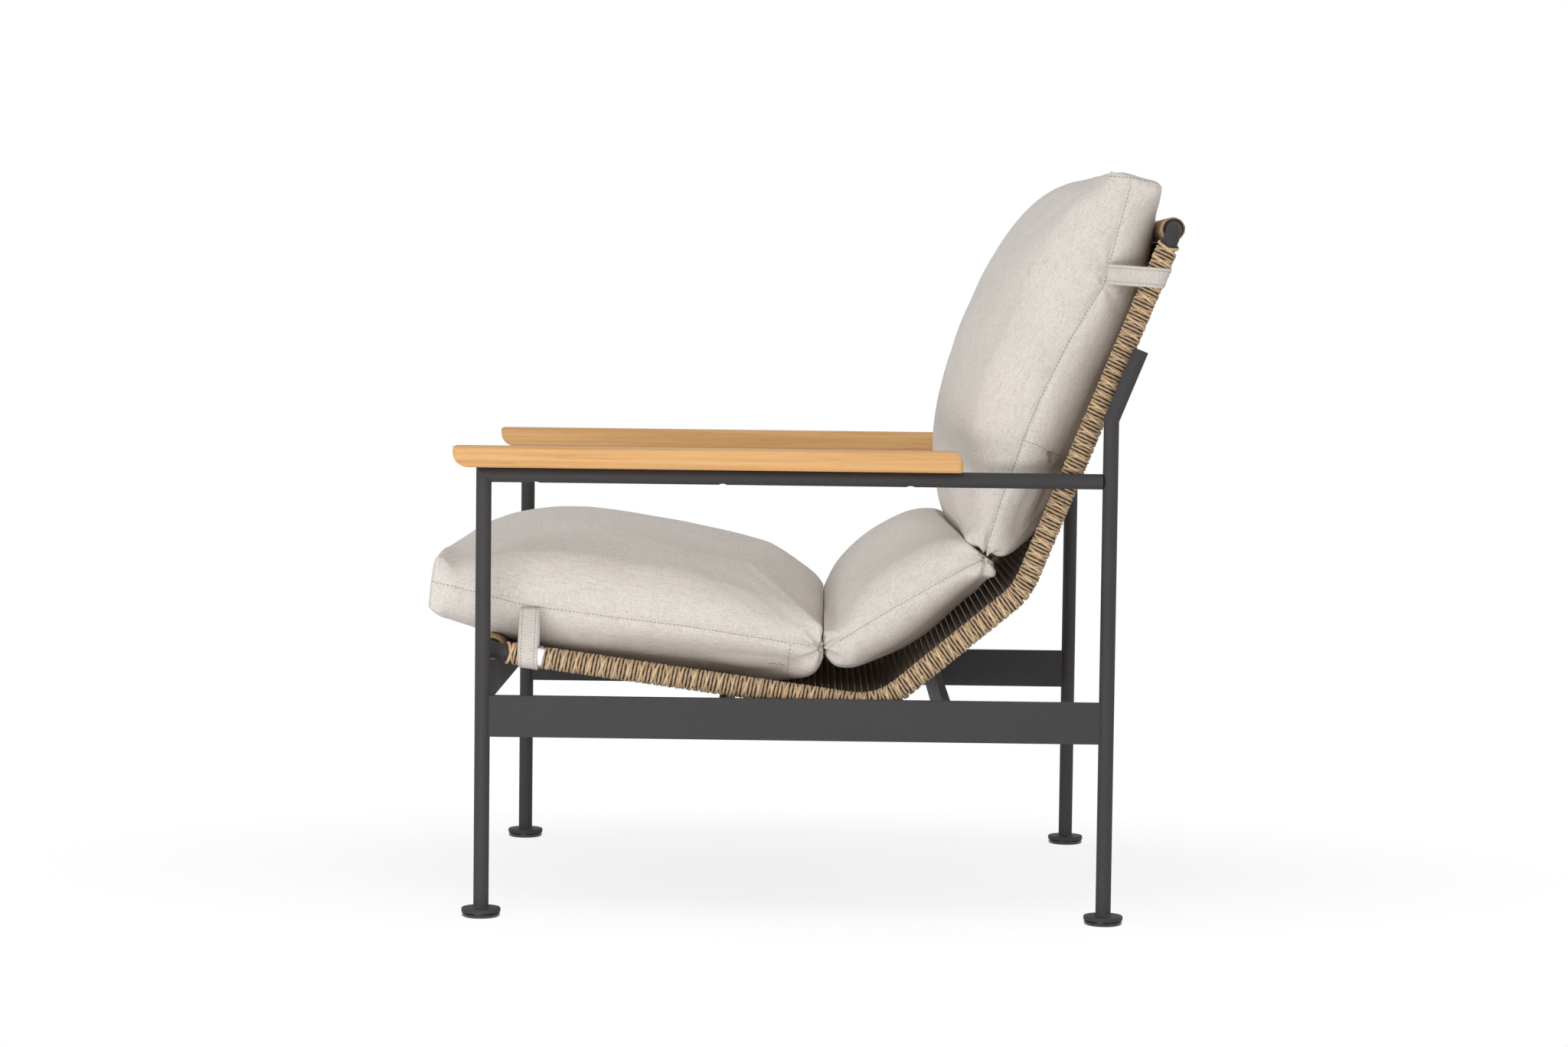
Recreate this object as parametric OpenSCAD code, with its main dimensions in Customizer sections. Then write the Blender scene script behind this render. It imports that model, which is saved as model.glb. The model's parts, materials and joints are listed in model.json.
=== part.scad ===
// Outdoor lounge armchair: tube and flat-bar base, teak armrests,
// a bent tube sling wound and strung with rope, and three soft pads.
// Millimetres. +Z up, the chair faces -Y, +X is the sitter's left.
// Origin on the floor at the centre of the whole chair's footprint.

/* [Base frame] */
// Distance between the front and rear leg axes
leg_spacing = 730; // [690:1:780]
// Distance between the left and right leg axes
frame_width = 650; // [560:1:760]
// Outside diameter of the leg and arm rail tubes
leg_d = 18; // [16:0.5:22]
// Wall of the leg and arm rail tubes
leg_wall = 1.5; // [1:0.1:2.5]
// Length of each rear leg above its bend, with the cap
rear_leg_top = 88; // [80:1:110]
// Thickness of the plate that caps each rear leg
cap_t = 2; // [1:0.5:4]
// Height of the side stretchers' lower edge above the floor
stretcher_bottom = 212; // [180:1:230]
// Height of the flat bars
bar_h = 48.5; // [40:0.5:56]
// Thickness of the flat bars
bar_t = 9; // [6:0.5:12]
// Height of the front crossbar's lower edge above the floor
front_bar_bottom = 248.5; // [235:0.5:262]
// Distance of the middle crossbar behind the front leg axes
middle_bar_back = 281.5; // [240:0.5:320]
// Distance of the rear crossbar ahead of the rear leg axes
rear_bar_ahead = 187; // [150:1:240]
// Thickness of the bar between the rear leg tops
back_bar_t = 6; // [4:0.5:9]
// Height of the bar between the rear leg tops
back_bar_h = 40; // [30:1:50]

/* [Feet] */
// Diameter of the steel disc under each leg
foot_d = 46; // [36:1:56]
// Thickness of the steel disc
foot_t = 5; // [3:0.5:8]
// Diameter of the plastic glide
glide_d = 45; // [34:1:54]
// Thickness of the plastic glide, with its neck
glide_t = 5.4; // [4:0.2:9]
// Diameter of the glide's plug
plug_d = 8; // [5:0.5:10]
// Length of the glide's plug above the disc
plug_len = 9; // [5:1:20]

/* [Armrests] */
// Height of the armrest underside above the floor
arm_bottom = 528; // [500:1:560]
// Length of an armrest
arm_len = 592; // [480:1:640]
// Width of an armrest
arm_w = 56; // [40:1:80]
// Thickness of an armrest
arm_t = 24; // [22:0.5:32]
// How far an armrest reaches ahead of the front leg axis
arm_ahead = 34.5; // [20:0.5:60]
// Radius under the armrest's front end
arm_nose_r = 19; // [8:0.5:19]
// Radius on top of the armrest's rear end
arm_tail_r = 14; // [4:0.5:16]
// Small radius on the armrest's other edges
arm_edge_r = 4; // [2:0.5:5]
// Number of screws under each armrest
arm_screws = 3; // [2:1:5]
// Shank diameter of an armrest screw
screw_d = 4.5; // [3:0.5:5]
// Depth of a screw in the wood
screw_bite = 16; // [8:1:18]

/* [Sling] */
// Outside diameter of the sling tube
tube_d = 19; // [16:0.5:22]
// Wall of the sling tube
tube_wall = 1.5; // [1:0.1:2.5]
// Thickness of the rope layer on the side rails
side_rope = 3.5; // [2:0.1:5]
// Thickness of the rope layer on the front and top rails
end_rope = 4.5; // [3:0.1:6]
// Distance of the front rail's axis behind the front leg axes
front_rail_back = 6; // [0:0.5:12]
// Distance of the bend between seat and lumbar ahead of the rear leg axes
knee_ahead = 266; // [230:1:300]
// Length of the lumbar run, corner to corner
lumbar_run = 216; // [190:1:240]
// Length of the back run, corner to corner
back_run = 460; // [400:1:520]
// Rise of the lumbar run above level
lumbar_angle = 39.6; // [34:0.1:46]
// Lean of the back away from upright
recline = 22; // [18:0.1:26]
// Axis radius of the bend between seat and lumbar
knee_r = 75; // [50:1:110]
// Axis radius of the bend between lumbar and back
waist_r = 75; // [50:1:110]
// Axis radius of the sling's four corners
corner_r = 24; // [20:1:40]
// Distance between neighbouring cords of the webbing
cord_pitch = 8; // [5:0.5:12]
// Thickness of the webbing
cord_d = 4.4; // [3:0.2:6]

/* [Cushion] */
// Gap between the cushion's sides and the rope on the side rails
pad_clear = 2.4; // [2.2:0.1:20]
// Height of the seat section above the rail axes
seat_pad_h = 158; // [120:1:180]
// How far the seat section reaches ahead of the front rail's axis
seat_pad_ahead = 98; // [60:1:120]
// Distance of the seat section's rear face ahead of the first bend
seat_pad_short = 63; // [60:1:90]
// Height of the lumbar section above the rail axes
lumbar_pad_h = 147; // [125:1:160]
// Distance of the lumbar section's rear end beyond the first corner
lumbar_pad_end = 211; // [190:1:216]
// Height of the back section above the rail axes
back_pad_h = 171; // [130:1:200]
// Distance of the back section's top end beyond the second corner
back_pad_end = 510; // [480:1:540]
// Distance from the end rails at which the cushion comes down on the webbing
rest_run = 75; // [50:1:100]
// Width over which the cushion's sides draw in to their seam
pad_side_r = 64; // [40:1:90]
// Drop of the cushion's upper face from the middle to the sides
pad_crown = 22; // [0:1:40]

/* [Straps] */
// Width of a strap
strap_w = 24; // [15:1:35]
// Thickness of a strap
strap_t = 1.6; // [1:0.1:3]
// Height of a strap's seam above the rail axis
strap_seam = 55; // [40:1:70]
// Distance of the seat straps behind the front rail's axis
seat_strap_back = 46; // [35:1:120]
// Distance of the back straps below the top rail's axis
back_strap_down = 62; // [45:1:160]
// Turn of the back straps towards level
back_strap_tilt = 18; // [0:1:22]

/* [Fit] */
// Gap left where pieces seat on one another
seat_gap = 0.3; // [0.1:0.05:0.5]
// Gap round a welded joint on a tube
weld_gap = 0.1; // [0.05:0.05:0.3]
// Clearance of a bolt or screw in its hole
hole_gap = 0.25; // [0.1:0.05:0.6]

/* [Hidden] */
$fn = 48;

cut = 1;                 // overshoot of cutting tools
sweep_sides = 24;        // flats round a swept tube
knee_steps = 6;
waist_steps = 4;
corner_step = 15;
metal = [0.25, 0.25, 0.26];
teak = [0.84, 0.67, 0.44];
rope = [0.74, 0.60, 0.42];
linen = [0.84, 0.82, 0.79];
steel = [0.70, 0.70, 0.70];
black = [0.06, 0.06, 0.06];

// Base frame. Positions along Y are measured from the front leg axes.
leg_r = leg_d / 2;
leg_x = frame_width / 2;
leg_foot = glide_t + foot_t;
rail_z = arm_bottom - leg_r;
stretcher_top = stretcher_bottom + bar_h;
front_bar_top = front_bar_bottom + bar_h;
crossbar_half = leg_x - bar_t / 2;
rear_bar_back = leg_spacing - rear_bar_ahead;

// Armrest screws: heads sit inside the rail, on its upper wall.
head_d = screw_d * 1.9;
head_t = 2.4;
screw_inset = 60;
driver_d = head_d + 1.5;
screw_span = leg_spacing - screw_inset - arm_tail_r;
arm_back = arm_len - arm_ahead;
screw_pitch = (arm_back - 2 * screw_inset) / (arm_screws - 1);

// Sling. The seat run hangs between the front crossbar and the middle one.
tube_r = tube_d / 2;
wrap_r = tube_r + side_rope;
end_r = tube_r + end_rope;
side_clear = 1.6;
sling_x = leg_x - leg_r - side_clear - wrap_r;
front_corner = [front_rail_back, front_bar_top + end_r + seat_gap];
drop_h = front_corner[1] - stretcher_top;
drop_run = middle_bar_back + bar_t / 2 - front_rail_back;
seat_pitch = acos((wrap_r + seat_gap) / norm([drop_h, drop_run])) - atan2(drop_run, drop_h);
seat_dir = -seat_pitch;
seat_run = (leg_spacing - knee_ahead - front_corner[0]) / cos(seat_dir);
back_dir = 90 - recline;
knee = front_corner + seat_run * [cos(seat_dir), sin(seat_dir)];
waist = knee + lumbar_run * [cos(lumbar_angle), sin(lumbar_angle)];
top_corner = waist + back_run * [cos(back_dir), sin(back_dir)];
knee_turn = lumbar_angle - seat_dir;
waist_turn = back_dir - lumbar_angle;
knee_tan = knee_r * tan(knee_turn / 2);
waist_tan = waist_r * tan(waist_turn / 2);

// Stations along the sling's centre line, measured from the front corner.
s_knee = seat_run - knee_tan;
s_lumbar = s_knee + knee_r * knee_turn * PI / 180;
s_waist = s_lumbar + lumbar_run - knee_tan - waist_tan;
s_back = s_waist + waist_r * waist_turn * PI / 180;
s_top = s_back + back_run - waist_tan;

// Rear legs bend where their upper part runs parallel behind the back run.
leg_behind = wrap_r + seat_gap + back_bar_t / 2;
lean_foot = waist + leg_behind * [sin(back_dir), -cos(back_dir)];
bend_z = lean_foot[1] + (leg_spacing - lean_foot[0]) * tan(back_dir);
bend = [leg_spacing, bend_z];
back_bar_mid = rear_leg_top / 2;

// Bolts
bolt_d = 6;
bolt_head_d = 10.5;
bolt_head_t = 3.3;
tab_w = 60;
tab_t = 3;
tab_drop = 26;
tab_bolt_x = 18;

// Cushion. Each section lies in the frame of its run: x along it, y away from the rope.
pad_half = sling_x - wrap_r - pad_clear;
pad_floor = cord_d / 2 + seat_gap;
pad_lean = asin((end_r + seat_gap) / norm([rest_run, pad_floor])) - atan2(pad_floor, rest_run);
seat_rear = knee[0] - seat_pad_short;
crease_gap = 1;
pad_facets = 32;
side_power = 2.5;        // fullness of the sides
side_end = 0.2;          // share of a section that is left at the side seam
seam_h = 58;             // height of the side seam above the rail axes
lumbar_seam_h = 72;
nose_r = 57;
brow_r = 44;
seat_brow_at = 4;
seat_brow_drop = 9;
crown_r = 50;
seat_crown_at = 118;
seat_tail_at = 290;
seat_tail_drop = 14;
seat_fall = 22;
seat_rear_r = 30;
seat_heel_r = 26;
lumbar_r = 32;
lumbar_shoulder_r = 38;
lumbar_shoulder_in = 10;
lumbar_lift = 31;
lumbar_end_r = 28;
back_r = 60;
back_low_at = 205;
back_high_at = 330;
back_toe_r = 40;
back_toe_drop = 73;
back_heel_r = 22;
back_top_r = 40;
back_brow_r = 45;
back_brow_in = 78;
back_brow_drop = 18;

// The whole chair's front and rear, from the front leg axes, centre the origin.
chair_front = min(
    out(front_corner, seat_dir, [-seat_pad_ahead + nose_r, above_rail(-seat_pad_ahead + nose_r, nose_r)])[0] - nose_r,
    -arm_ahead);
chair_rear = top_corner[0] + end_r;
origin_y = -(chair_front + chair_rear) / 2;

// Point p of a run's frame in the side view, and the other way round
function turned(p, a) = [p[0] * cos(a) - p[1] * sin(a), p[0] * sin(a) + p[1] * cos(a)];
function out(corner, dir, p) = corner + turned(p, dir);
function into(corner, dir, p) = turned(p - corner, -dir);
// Height of a disc whose lower side lies on the line from the webbing over an end rail,
// x measured from that rail
function above_rail(x, r) = pad_floor + (rest_run - x) * tan(pad_lean) + r / cos(pad_lean);
function unit(dir) = [cos(dir), sin(dir)];
// Direction and place of the sling's centre line at station s
function heading(s) =
    s < s_knee ? seat_dir :
    s < s_lumbar ? seat_dir + (s - s_knee) / knee_r * 180 / PI :
    s < s_waist ? lumbar_angle :
    s < s_back ? lumbar_angle + (s - s_waist) / waist_r * 180 / PI : back_dir;
function on_arc(from, dir, r, turn) =
    from + 2 * r * sin(turn / 2) * unit(dir + turn / 2);
function place(s) =
    s < s_knee ? front_corner + s * unit(seat_dir) :
    s < s_lumbar ? on_arc(knee - knee_tan * unit(seat_dir), seat_dir, knee_r, heading(s) - seat_dir) :
    s < s_waist ? knee + (knee_tan + s - s_lumbar) * unit(lumbar_angle) :
    s < s_back ? on_arc(waist - waist_tan * unit(lumbar_angle), lumbar_angle, waist_r,
                        heading(s) - lumbar_angle) :
    waist + (waist_tan + s - s_back) * unit(back_dir);
// Point beside the centre line at station s
function beside(s, off) = place(s) + off * unit(heading(s) + 90);

// ---------- helpers ----------
// Side view: local x runs along +Y, local y along +Z, local z along +X
module side_view() { translate([0, origin_y, 0]) rotate([90, 0, 90]) children(); }
module sided(side) { if (side < 0) mirror([1, 0, 0]) children(); else children(); }
// Frame of a run that starts at corner and heads along dir
module run(corner, dir) { side_view() translate([corner[0], corner[1], 0]) rotate([0, 0, dir]) children(); }
// Rod across the chair, in the side view's frame
module cross_rod(p, r, half) { translate([p[0], p[1], -half]) cylinder(h = 2 * half, r = r); }
module rod_along(p, dir, len, r) {
    translate([p[0], p[1], 0]) rotate([0, 0, dir]) rotate([0, 90, 0]) cylinder(h = len, r = r);
}
// Half of space on one side of a line in the side view
module half_space(p, dir) {
    translate([p[0], p[1], 0]) rotate([0, 0, dir]) translate([-leg_spacing, 0, -frame_width])
        cube([2 * leg_spacing, leg_spacing, 2 * frame_width]);
}

// ---------- base frame ----------
// Front leg and arm rail share a mitre; both are hollow.
module front_leg_bar(r, low, high) {
    difference() {
        translate([0, low, 0]) rotate([-90, 0, 0]) cylinder(h = high - low, r = r);
        half_space([-weld_gap / 2, rail_z - weld_gap / 2], -45);
    }
}
module front_leg(side) {
    color(metal) sided(side) side_view() translate([0, 0, leg_x]) difference() {
        front_leg_bar(leg_r, leg_foot, arm_bottom + leg_r);
        front_leg_bar(leg_r - leg_wall, leg_foot - cut, arm_bottom + leg_r);
    }
}
module arm_rail_bar(r, over) {
    difference() {
        rod_along([-leg_d, rail_z], 0, leg_spacing + leg_d + over, r);
        half_space([weld_gap / 2, rail_z + weld_gap / 2], 135);
        translate([leg_spacing, 0, 0]) rotate([-90, 0, 0]) cylinder(h = bend_z, r = leg_r + weld_gap);
    }
}
module arm_rail(side) {
    color(metal) sided(side) side_view() translate([0, 0, leg_x]) difference() {
        arm_rail_bar(leg_r, -leg_r);
        rod_along([-leg_d, rail_z], 0, leg_spacing + leg_d, leg_r - leg_wall);
        for (i = [0 : arm_screws - 1]) translate([screw_inset + i * screw_pitch, rail_z, 0]) {
            rotate([90, 0, 0]) cylinder(h = leg_d, d = driver_d);
            rotate([-90, 0, 0]) cylinder(h = leg_d, d = screw_d + 2 * hole_gap);
        }
    }
}
// Rear leg: upright, then mitred to lean back with the sling
module rear_leg(side) {
    function leg_frame(p, a, stretch = 1) = [deep(p, 0), stretch * deep(unit(180 - a), 0), [0, 0, 1]];
    path = [leg_frame([leg_spacing, leg_foot], 0),
            leg_frame(bend, recline / 2, 1 / cos(recline / 2)),
            leg_frame(bend + (rear_leg_top - cap_t) * unit(back_dir), recline)];
    color(metal) sided(side) side_view() translate([0, 0, leg_x]) swept_tube(path, leg_r, leg_r - leg_wall);
}
module leg_cap(side) {
    color(metal) sided(side) side_view() translate([0, 0, leg_x])
        rod_along(bend + (rear_leg_top - cap_t) * unit(back_dir), back_dir, cap_t, leg_r);
}
module leg_hole(back) { translate([back, 0, 0]) rotate([-90, 0, 0]) cylinder(h = bend_z, r = leg_r + weld_gap); }
module side_stretcher(side) {
    color(metal) sided(side) side_view() translate([0, 0, leg_x]) difference() {
        translate([0, stretcher_bottom, -bar_t / 2]) cube([leg_spacing, bar_h, bar_t]);
        leg_hole(0);
        leg_hole(leg_spacing);
    }
}
module crossbar(back, low) {
    color(metal) side_view() translate([back - bar_t / 2, low, -crossbar_half])
        cube([bar_t, bar_h, 2 * crossbar_half]);
}
module front_crossbar() {
    color(metal) side_view() difference() {
        translate([-bar_t / 2, front_bar_bottom, -leg_x]) cube([bar_t, bar_h, 2 * leg_x]);
        for (side = [-1, 1]) translate([0, 0, side * leg_x]) leg_hole(0);
        for (side = [-1, 1]) tab_bolt_axis(side) translate([0, 0, -cut])
            cylinder(h = bar_t + 2 * cut, d = bolt_d + 2 * hole_gap);
    }
}
// Bar between the leaning tops of the rear legs, behind the sling
module back_crossbar() {
    color(metal) run(bend, back_dir) difference() {
        translate([back_bar_mid - back_bar_h / 2, -back_bar_t / 2, -leg_x])
            cube([back_bar_h, back_bar_t, 2 * leg_x]);
        for (side = [-1, 1]) translate([0, 0, side * leg_x]) rotate([0, 90, 0])
            cylinder(h = rear_leg_top, r = leg_r + weld_gap);
        for (side = [-1, 1]) translate([back_bar_mid, 0, side * sling_x]) rotate([90, 0, 0])
            cylinder(h = 2 * back_bar_t, d = bolt_d + 2 * hole_gap, center = true);
    }
}

// ---------- feet ----------
module at_leg(side, back) { translate([side * leg_x, origin_y + back, 0]) children(); }
module foot_disc(side, back) {
    color(metal) at_leg(side, back) difference() {
        union() {
            translate([0, 0, glide_t]) rotate_extrude() polygon([
                [0, 0], [foot_d / 2 - 0.6, 0], [foot_d / 2, 0.6], [foot_d / 2, foot_t - 0.8],
                [foot_d / 2 - 0.8, foot_t], [leg_r + 1.8, foot_t], [leg_r + weld_gap, foot_t + 1.8],
                [leg_r + weld_gap, foot_t], [0, foot_t]]);
        }
        translate([0, 0, glide_t - cut]) cylinder(h = foot_t + 2 * cut, d = plug_d + 2 * weld_gap);
    }
}
module foot_glide(side, back) {
    neck = 0.8;
    color(black) at_leg(side, back) rotate_extrude() polygon([
        [0, 0], [glide_d / 2 - 1.6, 0], [glide_d / 2 - 0.4, 0.7], [glide_d / 2, 1.8],
        [glide_d / 2, glide_t - neck - 0.6], [glide_d / 2 - 0.6, glide_t - neck],
        [glide_d / 2 - 3, glide_t - neck], [glide_d / 2 - 3, glide_t], [plug_d / 2, glide_t],
        [plug_d / 2, leg_foot + plug_len - 1], [plug_d / 2 - 1, leg_foot + plug_len],
        [0, leg_foot + plug_len]]);
}

// ---------- armrests ----------
// Outline with a radius of its own on each corner: front low, rear low, rear high, front high
module soft_bar(len, h, r) {
    polygon([[r[0], 0], [len - r[1], 0], [len, r[1]], [len, h - r[2]], [len - r[2], h],
             [r[3], h], [0, h - r[3]], [0, r[0]]]);
    translate([r[0], r[0]]) circle(r[0]);
    translate([len - r[1], r[1]]) circle(r[1]);
    translate([len - r[2], h - r[2]]) circle(r[2]);
    translate([r[3], h - r[3]]) circle(r[3]);
}
module armrest(side) {
    e = arm_edge_r;
    color(teak) sided(side) translate([leg_x, origin_y - arm_ahead, arm_bottom]) difference() {
        intersection() {
            translate([-arm_w / 2, 0, 0]) rotate([90, 0, 90])
                linear_extrude(arm_w) soft_bar(arm_len, arm_t, [arm_nose_r, e, arm_tail_r, e]);
            translate([-arm_w / 2, arm_len, 0]) rotate([90, 0, 0])
                linear_extrude(arm_len) soft_bar(arm_w, arm_t, [e, e, e, e]);
            translate([arm_w / 2, 0, 0]) rotate([0, 0, 90])
                linear_extrude(arm_t) soft_bar(arm_len, arm_w, 1.5 * [e, e, e, e]);
        }
        for (i = [0 : arm_screws - 1])
            translate([0, arm_ahead + screw_inset + i * screw_pitch, -cut])
                cylinder(h = screw_bite + 1 + cut, d = screw_d + weld_gap);
    }
}
module armrest_screws(side) {
    bed = rail_z + sqrt(pow(leg_r - leg_wall, 2) - pow(head_d / 2, 2)) - weld_gap;
    color(steel) sided(side) for (i = [0 : arm_screws - 1])
        translate([leg_x, origin_y + screw_inset + i * screw_pitch, 0]) {
            translate([0, 0, bed - head_t]) cylinder(h = head_t, d = head_d);
            translate([0, 0, bed - head_t / 2]) cylinder(h = arm_bottom + screw_bite - bed + head_t / 2, d = screw_d);
        }
}

// ---------- sling ----------
// Frames along the side rail, as [centre, u, v] with u and v across the tube
function deep(p, z) = [p[0], p[1], z];
function side_frame(s) = [deep(place(s), 0), deep(unit(heading(s) + 90), 0), [0, 0, 1]];
// Frame at angle t of a quarter bend that starts at p, runs along dir and turns to the middle
function corner_frame(p, dir, u, t) = [
    deep(p, 0) + corner_r * (sin(t) * deep(dir, 0) + (1 - cos(t)) * [0, 0, -1]),
    deep(u, 0),
    cos(t) * [0, 0, 1] + sin(t) * deep(dir, 0)];
side_stations = concat(
    [corner_r],
    [for (i = [0 : knee_steps]) s_knee + i * (s_lumbar - s_knee) / knee_steps],
    [for (i = [0 : waist_steps]) s_waist + i * (s_back - s_waist) / waist_steps],
    [s_top - corner_r]);
side_path = [for (s = side_stations) side_frame(s)];
rail_path = concat(
    [for (t = [90 : -corner_step : corner_step])
        corner_frame(place(corner_r), -unit(seat_dir), unit(seat_dir + 90), t)],
    side_path,
    [for (t = [corner_step : corner_step : 90])
        corner_frame(place(s_top - corner_r), unit(back_dir), unit(back_dir + 90), t)]);
// Tube swept along a path of frames, with its bore
module swept_tube(path, outer, inner) {
    n = sweep_sides;
    last = len(path) - 1;
    function ring(f, r) = [for (k = [0 : n - 1]) f[0] + r * (cos(k * 360 / n) * f[1] + sin(k * 360 / n) * f[2])];
    function at(skin, i, k) = (skin * (last + 1) + i) * n + k % n;
    function quad(a, b, c, d) = [[a, b, c], [a, c, d]];
    polyhedron(
        points = [for (r = [outer, inner], f = path, p = ring(f, r)) p],
        faces = [for (k = [0 : n - 1], q = concat(
            [for (i = [0 : last - 1]) each quad(at(0, i, k), at(0, i + 1, k), at(0, i + 1, k + 1), at(0, i, k + 1))],
            [for (i = [0 : last - 1]) each quad(at(1, i, k), at(1, i, k + 1), at(1, i + 1, k + 1), at(1, i + 1, k))],
            quad(at(0, 0, k), at(0, 0, k + 1), at(1, 0, k + 1), at(1, 0, k)),
            quad(at(0, last, k), at(1, last, k), at(1, last, k + 1), at(0, last, k + 1)))) q]);
}
module bolt_line(d, h) {
    translate([bend[0], bend[1], 0]) rotate([0, 0, back_dir]) translate([back_bar_mid, 0, 0])
        rotate([-90, 0, 0]) translate([0, 0, -back_bar_t / 2]) cylinder(h = h, d = d);
}
module sling_rail(side) {
    color(metal) sided(side) side_view() translate([0, 0, sling_x]) difference() {
        swept_tube(rail_path, tube_r, tube_r - tube_wall);
        bolt_line(bolt_d + 2 * weld_gap, leg_behind);
    }
}
module end_rail(p) {
    color(metal) side_view() difference() {
        cross_rod(p, tube_r, sling_x - corner_r);
        cross_rod(p, tube_r - tube_wall, sling_x);
    }
}
module rope_wrap(side) {
    color(rope) sided(side) side_view() translate([0, 0, sling_x]) difference() {
        swept_tube(side_path, wrap_r, tube_r + weld_gap);
        bolt_line(bolt_d + 2 * hole_gap, leg_behind);
    }
}
module end_wrap(p) {
    difference() {
        cross_rod(p, end_r, sling_x - corner_r);
        cross_rod(p, tube_r + weld_gap, sling_x);
    }
}
module rope_wrap_front() {
    color(rope) side_view() difference() {
        end_wrap(front_corner);
        translate([bar_t / 2 - weld_gap, front_corner[1] - end_r - cut, -tab_w / 2 - weld_gap])
            cube([tab_t + 2 * weld_gap, end_r + cut, tab_w + 2 * weld_gap]);
    }
}
// Webbing: cords side by side across the sling, from rail to rail
module webbing(from, to) {
    cords = round((to - from) / cord_pitch);
    step = (to - from) / cords;
    bumps = [[0, 0.5], [0.16, 0.86], [0.5, 1], [0.84, 0.86]];
    rim = [for (i = [0 : cords - 1], b = bumps) [from + (i + b[0]) * step, b[1] * cord_d / 2]];
    ends = [[to, bumps[0][1] * cord_d / 2]];
    upper = concat(rim, ends);
    half = sling_x - wrap_r - seat_gap;
    color(rope) side_view() translate([0, 0, -half]) linear_extrude(2 * half) polygon(concat(
        [for (p = upper) beside(p[0], p[1])],
        [for (i = [len(upper) - 1 : -1 : 0]) beside(upper[i][0], -upper[i][1])]));
}

module seat_webbing() {
    color(rope) difference() {
        webbing(end_r + seat_gap, (s_knee + s_lumbar) / 2);
        strap_slots(front_corner, seat_dir, seat_strap_back, 0);
    }
}
module back_webbing() {
    color(rope) difference() {
        webbing((s_waist + s_back) / 2, s_top - end_r - seat_gap);
        strap_slots(top_corner, back_dir, -back_strap_down, back_strap_tilt);
    }
}

// ---------- sling fixings ----------
// Tab under the front rail, on the rear face of the front crossbar
module tab_bolt_axis(side) {
    translate([bar_t / 2, front_bar_top - tab_drop / 2, side * tab_bolt_x]) rotate([0, -90, 0]) children();
}
module sling_tab() {
    rail_low = front_corner[1] - sqrt(pow(tube_r + weld_gap, 2) - pow(bar_t / 2 + tab_t - front_corner[0], 2));
    color(metal) side_view() difference() {
        translate([bar_t / 2, front_bar_top - tab_drop, -tab_w / 2])
            cube([tab_t, rail_low - front_bar_top + tab_drop, tab_w]);
        cross_rod(front_corner, tube_r + weld_gap, tab_w);
        for (side = [-1, 1]) tab_bolt_axis(side) translate([0, 0, -tab_t - cut])
            cylinder(h = tab_t + 2 * cut, d = bolt_d + 2 * hole_gap);
    }
}
module button_bolt(len) {
    rotate_extrude() polygon([[0, -bolt_head_t], [bolt_d / 2, -bolt_head_t], [bolt_head_d / 2 - 0.8, -1.6],
        [bolt_head_d / 2, 0], [bolt_d / 2, 0], [bolt_d / 2, len - 0.6], [bolt_d / 2 - 0.6, len], [0, len]]);
}
module tab_bolts() {
    color(steel) side_view() for (side = [-1, 1])
        tab_bolt_axis(side) translate([0, 0, -tab_t]) button_bolt(tab_t + bar_t);
}
module back_bolts() {
    color(steel) run(bend, back_dir) for (side = [-1, 1])
        translate([back_bar_mid, -back_bar_t / 2, side * sling_x]) rotate([-90, 0, 0])
            button_bolt(back_bar_t + seat_gap + side_rope + tube_wall + 4);
}

// ---------- pads ----------
// Outline round a set of discs [x, y, r], one point for each of a turn of directions
function outermost(discs, n) =
    let (reach = [for (d = discs) d[0] * n[0] + d[1] * n[1] + d[2]], far = max(reach))
    [for (i = [0 : len(discs) - 1]) if (reach[i] == far) discs[i]][0];
function outline(discs) = [for (i = [0 : pad_facets - 1])
    let (n = unit(i * 360 / pad_facets), d = outermost(discs, n)) [d[0], d[1]] + d[2] * n];
// Soft form across the chair: section(drop) gives the discs where the upper face has come
// down by drop, and the sides draw in to the core line from [x0, y] to [x1, y].
module soft_form(section, x0, x1, y) {
    flat = pad_half - pad_side_r;
    function drawn_in(u) = [flat + u * pad_side_r,
        side_end + (1 - side_end) * pow(1 - pow(u, side_power), 1 / side_power)];
    half_stations = concat([[0.55 * flat, 1], [flat, 1]], [for (u = [0.4, 0.66, 0.86, 1]) drawn_in(u)]);
    stations = concat(
        [for (i = [len(half_stations) - 1 : -1 : 0]) [-half_stations[i][0], half_stations[i][1]]],
        [[0, 1]], half_stations);
    rings = [for (st = stations)
        [for (p = outline(section(pad_crown * pow(min(1, abs(st[0]) / flat), 2))))
            let (m = [min(max(p[0], x0), x1), y]) deep(m + st[1] * (p - m), st[0])]];
    n = pad_facets;
    top = len(rings) - 1;
    polyhedron(
        points = [for (r = rings, p = r) p],
        faces = concat(
            [[for (k = [0 : n - 1]) k]],
            [[for (k = [n - 1 : -1 : 0]) top * n + k]],
            [for (i = [0 : top - 1], k = [0 : n - 1], f = [0, 1])
                let (a = i * n + k, b = i * n + (k + 1) % n) f == 0 ? [a, a + n, b + n] : [a, b + n, b]]));
}
// The seat section ends in an upright face; the lumbar section starts there.
function seat_end(y, r) = [(seat_rear - front_corner[0] - r + y * sin(seat_dir)) / cos(seat_dir), y];
function lumbar_start(y, r) =
    [(seat_rear + crease_gap + r - knee[0] + y * sin(lumbar_angle)) / cos(lumbar_angle), y];
function shoulder(drop) =
    [lumbar_pad_end - lumbar_shoulder_in - lumbar_shoulder_r - drop / 2, lumbar_pad_h - lumbar_shoulder_r - drop];
lumbar_low_end = [lumbar_pad_end - lumbar_end_r, lumbar_lift + lumbar_end_r];
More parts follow.
